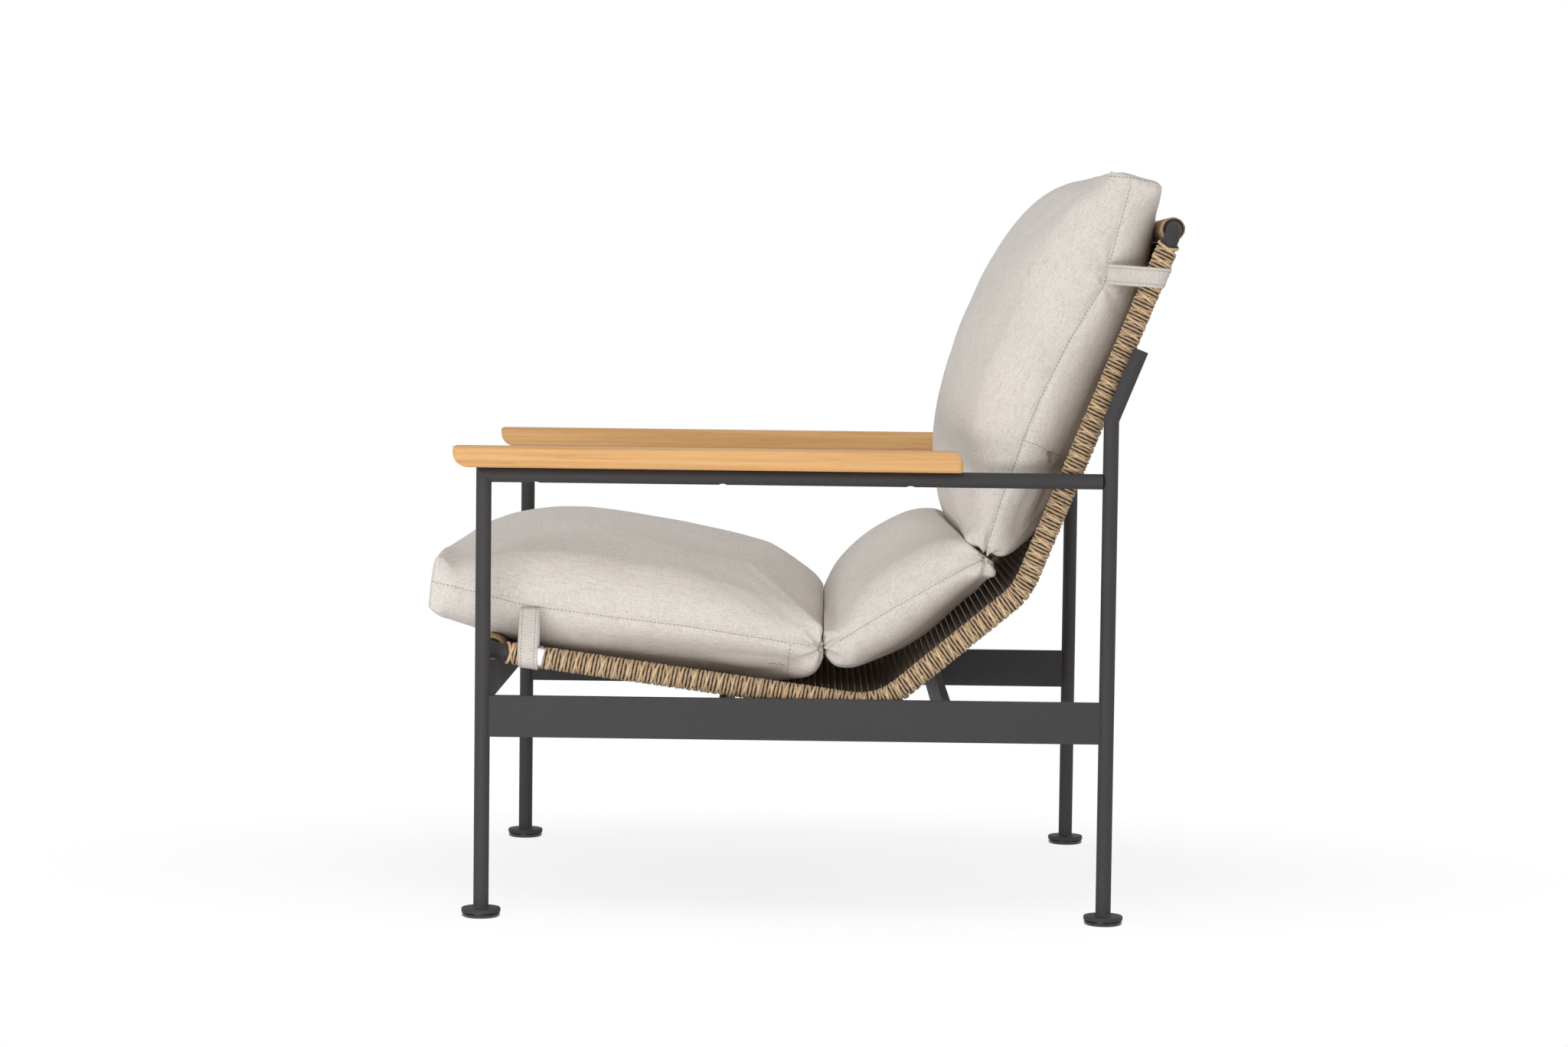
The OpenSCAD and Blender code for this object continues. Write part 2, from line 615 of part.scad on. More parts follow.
// The back section's toe and heel rest against the lumbar section's end.
function beyond(p, r_p, y, r) =
    let (s = into(waist, back_dir, out(knee, lumbar_angle, p)))
    s[0] + sqrt(max(0, pow(r_p + r + crease_gap, 2) - pow(y - s[1], 2)));
toe_y = back_pad_h - back_toe_drop;
toe_x = beyond(shoulder(0), lumbar_shoulder_r, toe_y, back_toe_r);
heel_y = pad_floor + 2 * back_heel_r;
heel_x = beyond(lumbar_low_end, lumbar_end_r, heel_y, back_heel_r);
module seat_pad() {
    nose = nose_r - seat_pad_ahead;
    color(linen) run(front_corner, seat_dir) soft_form(function(drop) [
        [nose + drop / 6, above_rail(nose, nose_r) - drop / 6, nose_r - drop / 6],
        [seat_brow_at, seat_pad_h - seat_brow_drop - brow_r - drop, brow_r],
        [seat_crown_at, seat_pad_h - crown_r - drop, crown_r],
        [seat_tail_at, seat_pad_h - seat_tail_drop - crown_r - drop, crown_r],
        [rest_run + 10, pad_floor + 10, 10],
        concat(seat_end(seat_pad_h - seat_fall - seat_rear_r - drop, seat_rear_r), seat_rear_r),
        concat(seat_end(pad_floor + seat_heel_r, seat_heel_r), seat_heel_r)],
        nose - nose_r / 2, seat_rear - front_corner[0] - seat_rear_r / 2, seam_h);
}
module lumbar_pad() {
    color(linen) run(knee, lumbar_angle) soft_form(function(drop) [
        concat(lumbar_start(lumbar_pad_h - lumbar_r - drop, lumbar_r), lumbar_r),
        concat(lumbar_start(lumbar_lift + lumbar_r, lumbar_r), lumbar_r),
        concat(shoulder(drop), lumbar_shoulder_r),
        concat(lumbar_low_end, lumbar_end_r)],
        lumbar_r / 2, lumbar_pad_end - lumbar_shoulder_r / 2, lumbar_seam_h);
}
module back_pad() {
    top = back_pad_end - back_top_r;
    color(linen) run(waist, back_dir) soft_form(function(drop) [
        [toe_x, toe_y - drop, back_toe_r],
        [heel_x, heel_y, back_heel_r],
        [heel_x + rest_run, pad_floor + 10, 10],
        [back_run - rest_run - 10, pad_floor + 10, 10],
        [back_low_at, back_pad_h - back_r - drop, back_r],
        [back_high_at, back_pad_h - back_r - drop, back_r],
        [back_pad_end - back_brow_in, back_pad_h - back_brow_drop - back_brow_r - drop, back_brow_r],
        [top, above_rail(back_run - top, back_top_r), back_top_r]],
        toe_x - back_toe_r / 2, top + back_top_r / 2, seam_h);
}

// ---------- straps ----------
// Loop round a wrapped side rail, closed at the cushion's side seam: x across the chair,
// y away from the rope. A loop turned by tilt is longer, as it meets the rail aslant.
module strap_loop(tilt) {
    core = wrap_r + seat_gap;
    slant = strap_w / 2 * tan(tilt) + core * (1 / cos(tilt) - 1);
    seam_x = pad_half + 2 * seat_gap + strap_t;
    module ring(r) { for (y = [-slant, slant]) translate([sling_x, y]) circle(r); }
    translate([0, 0, -strap_w / 2]) linear_extrude(strap_w) difference() {
        hull() { ring(core + strap_t); translate([seam_x, strap_seam]) circle(strap_t); }
        hull() { ring(core); translate([seam_x, strap_seam - strap_t]) circle(0.1, $fn = 16); }
    }
}
module strap_on(side, corner, dir, along, tilt) {
    color(linen) sided(side) run(corner, dir) translate([along, 0, 0]) rotate([0, 0, tilt])
        rotate([0, -90, 0]) strap_loop(tilt);
}
module seat_strap(side) { strap_on(side, front_corner, seat_dir, seat_strap_back, 0); }
module back_strap(side) { strap_on(side, top_corner, back_dir, -back_strap_down, back_strap_tilt); }
// Slots in the webbing beside the rails, where the straps go through
module strap_slots(corner, dir, along, tilt) {
    inner = sling_x - wrap_r - strap_t - 3 * seat_gap;
    slot = strap_w / cos(tilt) + cord_d * tan(tilt) + 4 * seat_gap;
    for (side = [-1, 1]) sided(side) run(corner, dir)
        translate([along - slot / 2, -cord_d, inner]) cube([slot, 2 * cord_d, cord_pitch]);
}

front_leg(1);  // front_leg_left
front_leg(-1);  // front_leg_right
rear_leg(1);  // rear_leg_left
rear_leg(-1);  // rear_leg_right
leg_cap(1);  // leg_cap_left
leg_cap(-1);  // leg_cap_right
foot_disc(1, 0);  // foot_disc_front_left
foot_disc(-1, 0);  // foot_disc_front_right
foot_disc(1, leg_spacing);  // foot_disc_rear_left
foot_disc(-1, leg_spacing);  // foot_disc_rear_right
foot_glide(1, 0);  // foot_glide_front_left
foot_glide(-1, 0);  // foot_glide_front_right
foot_glide(1, leg_spacing);  // foot_glide_rear_left
foot_glide(-1, leg_spacing);  // foot_glide_rear_right
arm_rail(1);  // arm_rail_left
arm_rail(-1);  // arm_rail_right
side_stretcher(1);  // side_stretcher_left
side_stretcher(-1);  // side_stretcher_right
front_crossbar();
crossbar(middle_bar_back, stretcher_bottom);  // middle_crossbar
crossbar(rear_bar_back, stretcher_bottom);  // rear_crossbar
back_crossbar();
armrest(1);  // armrest_left
armrest(-1);  // armrest_right
armrest_screws(1);  // armrest_screws_left
armrest_screws(-1);  // armrest_screws_right
sling_rail(1);  // sling_rail_left
sling_rail(-1);  // sling_rail_right
end_rail(front_corner);  // sling_front_rail
end_rail(top_corner);  // sling_top_rail
rope_wrap(1);  // rope_wrap_left
rope_wrap(-1);  // rope_wrap_right
rope_wrap_front();
color(rope) side_view() end_wrap(top_corner);  // rope_wrap_top
seat_webbing();
webbing((s_knee + s_lumbar) / 2, (s_waist + s_back) / 2);  // lumbar_webbing
back_webbing();
sling_tab();
tab_bolts();
back_bolts();
seat_pad();
lumbar_pad();
back_pad();
seat_strap(1);  // seat_strap_left
seat_strap(-1);  // seat_strap_right
back_strap(1);  // back_strap_left
back_strap(-1);  // back_strap_right
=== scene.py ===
import json
import math

import bmesh
import bpy
import numpy as np
from bpy.props import FloatProperty, FloatVectorProperty, PointerProperty
from mathutils import Matrix, Vector, noise
from mathutils.bvhtree import BVHTree

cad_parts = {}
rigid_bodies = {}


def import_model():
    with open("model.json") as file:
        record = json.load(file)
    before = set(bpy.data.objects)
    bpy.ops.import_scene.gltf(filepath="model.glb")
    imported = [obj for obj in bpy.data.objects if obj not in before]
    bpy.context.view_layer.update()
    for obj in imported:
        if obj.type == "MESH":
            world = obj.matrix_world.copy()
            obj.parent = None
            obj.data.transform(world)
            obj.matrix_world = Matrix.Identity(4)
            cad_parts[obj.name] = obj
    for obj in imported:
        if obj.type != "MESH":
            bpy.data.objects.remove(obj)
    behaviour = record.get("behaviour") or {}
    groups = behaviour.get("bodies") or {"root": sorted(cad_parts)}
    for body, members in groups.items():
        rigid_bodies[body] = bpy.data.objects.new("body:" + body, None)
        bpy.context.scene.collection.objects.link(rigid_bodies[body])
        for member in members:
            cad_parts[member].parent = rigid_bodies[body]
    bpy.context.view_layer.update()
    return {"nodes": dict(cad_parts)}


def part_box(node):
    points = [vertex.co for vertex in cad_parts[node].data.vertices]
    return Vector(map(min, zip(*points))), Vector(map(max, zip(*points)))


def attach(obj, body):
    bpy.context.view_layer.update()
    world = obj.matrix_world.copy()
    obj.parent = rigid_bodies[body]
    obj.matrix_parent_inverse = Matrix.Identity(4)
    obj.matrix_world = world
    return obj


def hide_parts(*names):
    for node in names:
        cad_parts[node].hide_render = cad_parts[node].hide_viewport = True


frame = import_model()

bl_info = {
    "name": "Outdoor lounge armchair",
    "version": (1, 0, 0),
    "blender": (4, 5, 0),
    "location": "3D View > Sidebar > Armchair",
    "description": "Dresses the armchair's frame with rope, cushion, straps and finishes",
    "category": "Add Mesh",
}

MM = 0.001
WHITE = (1, 1, 1, 1)


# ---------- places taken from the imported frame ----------
def mid(node):
    """Centre of a node's box."""
    low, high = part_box(node)
    return (low + high) / 2


def span(node):
    """Size of a node's box."""
    low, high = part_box(node)
    return high - low


FRONT_RAIL = mid("sling_front_rail")
TOP_RAIL = mid("sling_top_rail")
LEG_FRONT = mid("foot_disc_front_left")
LEG_REAR = mid("foot_disc_rear_left")
# Radius of the sling's tube, and distance of its side rails from the middle
TUBE = span("sling_front_rail").z / 2
RAIL_X = mid("sling_rail_left").x + span("sling_rail_left").x / 2 - TUBE
SIDES = {"left": 1, "right": -1}
# How far a laid cord is pinched between its two strands
PINCH = 0.84


def linear(rgb):
    """sRGB 0-255 values as linear RGBA."""
    def one(c):
        c = c / 255
        return c / 12.92 if c <= 0.04045 else ((c + 0.055) / 1.055) ** 2.4
    return (*[one(c) for c in rgb], 1.0)


def colour(name, text, rgb):
    return FloatVectorProperty(name=name, description=text, subtype="COLOR", size=4, min=0, max=1,
                               default=linear(rgb))


def number(name, text, default, **more):
    return FloatProperty(name=name, description=text, default=default, **more)


def length(name, text, default):
    return number(name, text, default, unit="LENGTH")


def angle(name, text, degrees):
    return number(name, text, math.radians(degrees), subtype="ANGLE")


# ---------- settings ----------
class FinishSettings(bpy.types.PropertyGroup):
    """Colours of the finishes"""
    coat: colour("Powder coat", "Colour of the metal frame", (56, 54, 55))
    teak: colour("Teak", "Main colour of the armrests", (212, 166, 110))
    grain: colour("Teak grain", "Colour of the darker grain lines", (186, 134, 80))
    rope: colour("Rope", "Colour of the straw rope", (224, 193, 153))
    # This colour is also the painted shade in the rope's gaps and on the webbing, at 0.42 of it.
    rope_shade: colour("Rope shade", "Colour of the rope's darker fibres", (122, 92, 65))
    linen: colour("Cushion fabric", "Main colour of the cushion's fabric", (214, 208, 201))
    thread: colour("Dark thread", "Colour of the fabric's darker threads", (176, 164, 158))
    seam_thread: colour("Seam thread", "Colour of the sewing thread", (122, 114, 107))
    glide: colour("Glide", "Colour of the plastic glides", (20, 20, 21))
    steel: colour("Fastener steel", "Colour of screws and bolts", (104, 104, 103))
    lining: colour("Strap lining", "Colour of the straps' inner side", (236, 236, 242))


class SlingSettings(bpy.types.PropertyGroup):
    """Shape of the bent tube sling and its rope"""
    knee_ahead: length("Knee ahead", "Distance of the first bend ahead of the rear legs", 0.266)
    lumbar_run: length("Lumbar run", "Length of the lumbar run, corner to corner", 0.216)
    seat_fall: angle("Seat fall", "Slope of the seat run towards the back", 7.604)
    lumbar_rise: angle("Lumbar rise", "Slope of the lumbar run", 39.6)
    back_rise: angle("Back rise", "Slope of the back run", 68)
    bend_radius: length("Bend radius", "Axis radius of the two bends", 0.075)
    side_rope: length("Side rope", "Thickness of the rope layer on the side rails", 0.0035)
    end_rope: length("End rope", "Thickness of the rope layer on the end rails", 0.0045)
    wrap_pitch: length("Wrap pitch", "Distance between neighbouring turns of rope", 0.0043)
    cross_pitch: length("Crossing pitch", "Distance between crossing pairs of rope", 0.0152)
    cross_lean: length("Crossing lean", "How far a crossing cord leans each way", 0.0058)
    cord_pitch: length("Cord pitch", "Distance between cords of the webbing", 0.008)
    cord_thick: length("Cord thickness", "Thickness of the webbing's cords", 0.0044)


class CushionSettings(bpy.types.PropertyGroup):
    """Shape of the cushion"""
    half_width: length("Half width", "Half of the cushion's width", 0.285)
    side_round: length("Side rounding", "Width over which the sides draw in", 0.052)
    box_round: length("Box rounding", "The same beside the boxed ends", 0.014)
    crown: length("Crown", "Drop of the upper face from the middle to the sides", 0.022)
    voxel: length("Voxel", "Size of the cloth mesh", 0.005)
    swell: length("Swell", "How far the cloth may swell", 0.012)
    take_in: length("Take-in", "How much smaller the cloth starts", 0.006)
    crease: length("First crease", "Distance of the seat's rear face ahead of the first bend", 0.0655)
    seam_groove: length("Seam groove", "Depth of the groove along the side seams", 0.0016)
    pucker: length("Pucker", "Height of the puckers beside the seams", 0.0016)
    wrinkle: number("Wrinkle", "Share of the finer wrinkles that stay", 0.25)
    rumple: length("Rumple", "Height of the soft unevenness of the cloth", 0.0022)
    stitch: length("Stitch", "Length of a stitch", 0.0034)


class StrapSettings(bpy.types.PropertyGroup):
    """Straps that hold the cushion"""
    width: length("Width", "Width of a strap", 0.0235)
    thickness: length("Thickness", "Thickness of a strap", 0.0014)
    seam_height: length("Seam height", "Height of a strap's seam above the rail's axis", 0.055)
    seat_back: length("Seat strap place", "Distance of the seat straps behind the front rail", 0.046)
    back_down: length("Back strap place", "Distance of the back straps below the top rail", 0.062)
    tilt: angle("Tilt", "Turn of the back straps towards level", 18)
    stitch: length("Stitch", "Length of a stitch on the straps", 0.0028)


class StageSettings(bpy.types.PropertyGroup):
    """Camera, floor and light"""
    key: number("Key light", "Power of the low light beside the chair", 18.5)
    rear: number("Rear light", "Power of the light beside the back", 4.0)
    top: number("Top light", "Power of the light above", 12.0)
    ambient: number("Ambient", "Strength of the even light", 0.7)
    white_radius: length("White radius", "Distance at which the floor has turned white", 1.0)


SETTINGS = {
    "chair_finish": FinishSettings,
    "chair_sling": SlingSettings,
    "chair_cushion": CushionSettings,
    "chair_strap": StrapSettings,
    "chair_stage": StageSettings,
}


def setting(group):
    return getattr(bpy.context.scene, "chair_" + group)


# ---------- nodes ----------
class Nodes:
    """A node tree under construction."""

    def __init__(self, tree):
        self.tree = tree
        tree.nodes.clear()

    def put(self, socket, value):
        if isinstance(value, bpy.types.NodeSocket):
            self.tree.links.new(value, socket)
        else:
            socket.default_value = value

    def node(self, kind, *values, **named):
        """New node. Values fill its sockets in order; capitalised names are sockets, others settings."""
        n = self.tree.nodes.new(kind)
        for key, value in named.items():
            if key[0].islower():
                setattr(n, key, value)
        for i, value in enumerate(values):
            if value is not None:
                self.put(n.inputs[i], value)
        for key, value in named.items():
            if key[0].isupper():
                self.put(n.inputs[key.replace("_", " ")], value)
        return n

    def add(self, kind, *values, out=0, **named):
        """New node, of which one output comes back."""
        return self.node(kind, *values, **named).outputs[out]

    def maths(self, operation, *values):
        return self.add("ShaderNodeMath", *values, operation=operation)

    def plus(self, a, b):
        return self.maths("ADD", a, b)

    def times(self, a, b):
        return self.maths("MULTIPLY", a, b)

    def over(self, a, b):
        return self.maths("DIVIDE", a, b)

    def seen(self):
        """1 for what the camera sees, directly or as a reflection."""
        rays = self.node("ShaderNodeLightPath").outputs
        return self.maths("MAXIMUM", rays["Is Camera Ray"], rays["Is Glossy Ray"])


# ---------- materials ----------
class Finish(Nodes):
    """A node material under construction: one Principled shader and helpers to feed it."""

    def __init__(self, name, roughness=0.5, **sockets):
        self.mat = bpy.data.materials.new(name)
        self.mat.use_nodes = True
        super().__init__(self.mat.node_tree)
        self.out = self.node("ShaderNodeOutputMaterial")
        self.shader = self.node("ShaderNodeBsdfPrincipled", Roughness=roughness, **sockets)
        self.put(self.out.inputs["Surface"], self.shader.outputs[0])
        self.coords = self.add("ShaderNodeTexCoord", out="Object")

    def feed(self, **sockets):
        for key, value in sockets.items():
            self.put(self.shader.inputs[key.replace("_", " ")], value)

    def noise(self, scale, detail, rough, distortion=0.0, turn=0.0):
        """Noise of one scale, or of a scale for each axis, turned about the chair's width."""
        vector = self.coords
        if isinstance(scale, tuple):
            vector = self.add("ShaderNodeMapping", vector_type="TEXTURE", Vector=vector,
                              Rotation=(turn, 0, 0), Scale=[1 / s for s in scale])
            scale = 1.0
        return self.add("ShaderNodeTexNoise", Vector=vector, Scale=scale, Detail=detail,
                        Roughness=rough, Distortion=distortion)

    def ramp(self, value, low, high, a=0.0, b=1.0):
        """value mapped from low..high to a..b."""
        return self.add("ShaderNodeMapRange", value, low, high, a, b, clamp=True)

    def mix(self, factor, a, b):
        """Colours a and b, mixed."""
        n = self.node("ShaderNodeMix", factor, data_type="RGBA")
        self.put(n.inputs[6], a)
        self.put(n.inputs[7], b)
        return n.outputs[2]

    def bump(self, height, distance, strength=1.0):
        self.feed(Normal=self.add("ShaderNodeBump", Strength=strength, Distance=distance, Height=height))


def shade(colour, factor=1.0):
    return (*[c * factor for c in colour[:3]], 1.0)


def tint(name, factor=1.0):
    """A colour of the finish settings, made lighter or darker."""
    return shade(getattr(setting("finish"), name), factor)


def powder_coat():
    f = Finish("powder_coat", Specular_IOR_Level=0.25)
    speck = f.noise(900, 2, 0.6)
    cloud = f.noise(9, 3, 0.55)
    tone = f.mix(f.ramp(cloud, 0.35, 0.65), tint("coat", 0.9), tint("coat", 1.1))
    f.feed(Base_Color=f.mix(f.ramp(speck, 0.4, 0.75, 0, 0.5), tone, tint("coat", 1.5)),
           Roughness=f.ramp(cloud, 0.3, 0.7, 0.58, 0.7))
    f.bump(speck, 0.00012, 0.6)
    return f.mat


def teak_wood():
    f = Finish("oiled_teak", Specular_IOR_Level=0.3)
    grain = f.noise((420, 5, 420), 4, 0.62, 0.4)
    bands = f.noise((46, 1.6, 60), 3, 0.6, 0.8)
    pores = f.noise((1500, 26, 1500), 2, 0.5)
    tone = f.mix(f.ramp(bands, 0.34, 0.66), tint("teak", 1.04), f.mix(0.45, tint("teak"), tint("grain")))
    tone = f.mix(f.ramp(grain, 0.5, 0.72, 0, 0.7), tone, tint("grain"))
    f.feed(Base_Color=f.mix(f.ramp(pores, 0.62, 0.74, 0, 0.55), tone, tint("grain", 0.6)),
           Roughness=f.ramp(grain, 0.3, 0.7, 0.5, 0.66))
    f.bump(f.plus(grain, f.times(pores, -0.8)), 0.00018, 0.5)
    return f.mat


def twisted_rope():
    f = Finish("straw_rope", 0.86, Specular_IOR_Level=0.2, Sheen_Weight=0.15, Sheen_Roughness=0.5)
    fibre = f.noise((1400, 1400, 1400), 3, 0.7)
    patch = f.noise(130, 3, 0.6)
    tone = f.mix(f.ramp(patch, 0.3, 0.7), tint("rope", 0.82), tint("rope", 1.24))
    tone = f.mix(f.ramp(fibre, 0.45, 0.7, 0, 0.75), tone, tint("rope_shade"))
    # Painted shade: the rope is mixed towards its darker colour at 0.42 where a point stands out less, in the gaps
    # between turns of the wraps and on the webbing.
    proud = f.add("ShaderNodeAttribute", out="Fac", attribute_name="proud")
    f.feed(Base_Color=f.mix(f.ramp(proud, 0.52, 0.98), tint("rope_shade", 0.42), tone))
    f.bump(fibre, 0.0004, 0.8)
    return f.mat


def linen_weave(name, turn=0.0, factor=1.0):
    """Heathered weave with threads along x, along the run and across it."""
    f = Finish(name, 0.9, Specular_IOR_Level=0.15, Sheen_Weight=0.12, Sheen_Roughness=0.45)
    light, dark = tint("linen", factor), tint("thread", factor)
    sums = []
    for long, fine, rough in ((90, 1150, 0.6), (36, 950, 0.5)):
        x, y, z = [f.noise(scale, 2, rough, turn=turn)
                   for scale in ((long, fine, fine), (fine, long, fine), (fine, fine, long))]
        sums.append(f.plus(f.plus(x, y), z))
    weave, slub = sums
    cloud = f.noise(14, 3, 0.6)
    tone = f.mix(f.ramp(cloud, 0.3, 0.7), shade(light, 0.965), shade(light, 1.03))
    tone = f.mix(f.ramp(weave, 1.5, 1.95, 0, 0.85), tone, dark)
    tone = f.mix(f.ramp(slub, 1.56, 1.86, 0, 0.5), tone, shade(dark, 0.9))
    f.feed(Base_Color=f.mix(f.ramp(weave, 1.5, 1.1, 0, 0.6), tone, shade(light, 1.12)))
    f.bump(f.plus(weave, slub), 0.0003, 0.55)
    return f.mat


def plain(name, colour, roughness, metallic=0.0, coat=0.0):
    f = Finish(name, Metallic=metallic, Coat_Weight=coat)
    cloud = f.ramp(f.noise(60, 3, 0.6), 0.3, 0.7)
    speck = f.noise(300, 2, 0.5)
    f.feed(Base_Color=f.mix(cloud, shade(colour, 0.88), shade(colour, 1.1)),
           Roughness=f.ramp(speck, 0.3, 0.7, roughness * 0.8, roughness * 1.2))
    f.bump(f.noise(1200, 2, 0.5), 0.00005, 0.3)
    return f.mat


def dress(material, *starts):
    """Gives one material to the CAD nodes whose names start so."""
    for node, obj in frame["nodes"].items():
        if node.startswith(starts):
            if not obj.material_slots:
                obj.data.materials.append(material)
            for s in obj.material_slots:
                s.material = material


# ---------- shape helpers ----------
class Sling:
    """Centre line of the sling in the side view, by station along it (metres)."""

    def __init__(self):
        s = setting("sling")
        self.turns = [-s.seat_fall, s.lumbar_rise, s.back_rise]
        self.front = np.array([FRONT_RAIL.y, FRONT_RAIL.z])
        self.top = np.array([TOP_RAIL.y, TOP_RAIL.z])
        seat_run = (LEG_REAR.y - s.knee_ahead - FRONT_RAIL.y) / math.cos(s.seat_fall)
        knee = self.front + seat_run * self.unit(self.turns[0])
        waist = knee + s.lumbar_run * self.unit(self.turns[1])
        self.corners = [self.front, knee, waist]
        self.back_run = float(np.linalg.norm(self.top - waist))
        self.radius = s.bend_radius
        bends = [self.turns[i + 1] - self.turns[i] for i in (0, 1)]
        # Length that each bend takes from the runs beside it; the front rail takes none
        self.cut = [0.0] + [self.radius * math.tan(bend / 2) for bend in bends]
        # Stations at which runs and bends end, in turn
        self.marks = np.cumsum([0.0, seat_run - self.cut[1], self.radius * bends[0],
                                s.lumbar_run - self.cut[1] - self.cut[2], self.radius * bends[1],
                                self.back_run - self.cut[2]])

    @staticmethod
    def unit(a):
        return np.array([math.cos(a), math.sin(a)])

    def part(self, s):
        """Run that station s is on, and whether it is in the bend behind that run."""
        return divmod(int(np.searchsorted(self.marks[1:-1], s, side="right")), 2)

    def heading(self, s):
        run, bent = self.part(s)
        return self.turns[run] + ((s - self.marks[2 * run + 1]) / self.radius if bent else 0)

    def place(self, s):
        run, bent = self.part(s)
        turn = self.turns[run]
        if not bent:
            return self.corners[run] + (self.cut[run] + s - self.marks[2 * run]) * self.unit(turn)
        start = self.corners[run + 1] - self.cut[run + 1] * self.unit(turn)
        half = (self.heading(s) - turn) / 2
        return start + 2 * self.radius * math.sin(half) * self.unit(turn + half)

    def line(self, start, end, step, x=0.0):
        """Points along the centre line."""
        count = max(2, round((end - start) / step) + 1)
        return [(x, *self.place(s)) for s in np.linspace(start, end, count)]

    def world(self, run, p, x=0.0):
        """Point p (metres, along the run and off it) of a run in the row frame."""
        a, corner = self.turns[run], self.corners[run]
        return (x, corner[0] + p[0] * math.cos(a) - p[1] * math.sin(a),
                corner[1] + p[0] * math.sin(a) + p[1] * math.cos(a))

    def local(self, run, co):
        """Row frame points as (along the run, off it) columns."""
        a = self.turns[run]
        d = co[:, 1:] - self.corners[run]
        return np.stack([d[:, 0] * math.cos(a) + d[:, 1] * math.sin(a),
                         -d[:, 0] * math.sin(a) + d[:, 1] * math.cos(a)], axis=1)


def new_object(name, data):
    obj = bpy.data.objects.new(name, data)
    bpy.context.scene.collection.objects.link(obj)
    return obj


def evaluated_mesh(obj):
    """Mesh of an object with its modifiers applied."""
    graph = bpy.context.evaluated_depsgraph_get()
    return bpy.data.meshes.new_from_object(obj.evaluated_get(graph))


def mesh_object(name, points, faces, *materials):
    mesh = bpy.data.meshes.new(name)
    mesh.from_pydata([tuple(p) for p in points], [], faces)
    mesh.update()
    mesh.shade_smooth()
    for material in materials:
        mesh.materials.append(material)
    return new_object(name, mesh)


def guide_curve(name, *rows):
    """Poly curves through rows of points, for a node tree to work on."""
    curve = bpy.data.curves.new(name, "CURVE")
    curve.dimensions = "3D"
    for row in rows:
        spline = curve.splines.new("POLY")
        spline.points.add(len(row) - 1)
        for p, co in zip(spline.points, row):
            p.co = (*co, 1)
    return new_object(name, curve)


def settle(obj, piece, slot, *replaced):
    """Names a finished piece, hangs it on the root body and hides the CAD nodes that it stands for; slot is not
    used.
    """
    obj.name = piece
    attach(obj, "root")
    if replaced:
        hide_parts(*replaced)
    return obj


def join(first, other):
    """Joins a mesh object into the first."""
    bm = bmesh.new()
    for obj in (first, other):
        bm.from_mesh(obj.data)
    bm.to_mesh(first.data)
    bm.free()
    bpy.data.objects.remove(other)


# ---------- cords and stitches ----------
class Tree(Nodes):
    """A geometry node tree under construction, with the names of its inputs."""

    def __init__(self, name, *inputs):
        super().__init__(bpy.data.node_groups.new(name, "GeometryNodeTree"))
        kinds = {"Geometry": "Geometry", "Seed": "Int", "Material": "Material"}
        face = self.tree.interface
        for label in ("Geometry", *inputs, "Material"):
            face.new_socket(label, in_out="INPUT", socket_type="NodeSocket" + kinds.get(label, "Float"))
        face.new_socket("Geometry", in_out="OUTPUT", socket_type="NodeSocketGeometry")
        self.given = self.node("NodeGroupInput").outputs
        self.result = self.node("NodeGroupOutput")

    def geo(self, kind, **named):
        return self.add("GeometryNode" + kind, **named)

    def xyz(self, *values):
        return self.add("ShaderNodeCombineXYZ", *values)

    def vector(self, operation, *values, **named):
        return self.add("ShaderNodeVectorMath", *values, operation=operation, **named)

    def random(self, low, high, seed, **named):
        return self.add("FunctionNodeRandomValue", None, None, low, high, out=1, Seed=seed, **named)

    def pitches(self):
        """How many pitches long the curve is that comes in."""
        return self.over(self.geo("CurveLength", Curve=self.given["Geometry"]), self.given["Pitch"])

    def resampled(self, curve, count):
        return self.geo("ResampleCurve", Curve=curve, Count=count)

    def slope(self):
        """Turn of the curve that comes in, about the chair's width."""
        parts = self.node("ShaderNodeSeparateXYZ", self.geo("InputTangent")).outputs
        return self.maths("ARCTAN2", parts[2], parts[1])

    def cord(self, curve, thickness, pinch):
        """Cord of six sides with two lobes along a curve, as a laid cord of two strands has."""
        circle = self.geo("CurvePrimitiveCircle", mode="RADIUS", Resolution=6, Radius=self.times(thickness, 0.5))
        squeezed = self.vector("MULTIPLY", self.geo("InputPosition"), self.xyz(1.0, pinch, 1.0))
        profile = self.geo("SetPosition", Geometry=circle, Position=squeezed)
        return self.geo("CurveToMesh", Curve=curve, Profile_Curve=profile, Fill_Caps=True)

    def proud(self, geometry, value):
        """Keeps how far each point stands out, from 0 to 1, which the rope's finish turns into painted shade: the
        less a point stands out, the darker it is painted.
        """
        return self.geo("StoreNamedAttribute", Geometry=geometry, Name="proud", Value=value)

    def proud_for_gap_shade(self, geometry, radius, thickness):
        # Points that lie nearer the core, in the gaps between cords, get the lower value and the darker painted
        # shade.
        core = self.geo("CurveToMesh", Curve=self.given["Geometry"])
        far = self.add("GeometryNodeProximity", core, out="Distance", target_element="EDGES")
        return self.proud(geometry, self.plus(self.over(self.maths("SUBTRACT", far, radius), thickness), 0.5))

    def placed(self, points, item, turn, size):
        return self.geo("InstanceOnPoints", Points=points, Instance=item, Rotation=turn, Scale=size)

    def close(self, geometry):
        """Ends the tree in Realize Instances and Set Material."""
        real = self.geo("RealizeInstances", Geometry=geometry)
        self.put(self.result.inputs[0], self.geo("SetMaterial", Geometry=real, Material=self.given["Material"]))
        return self.tree


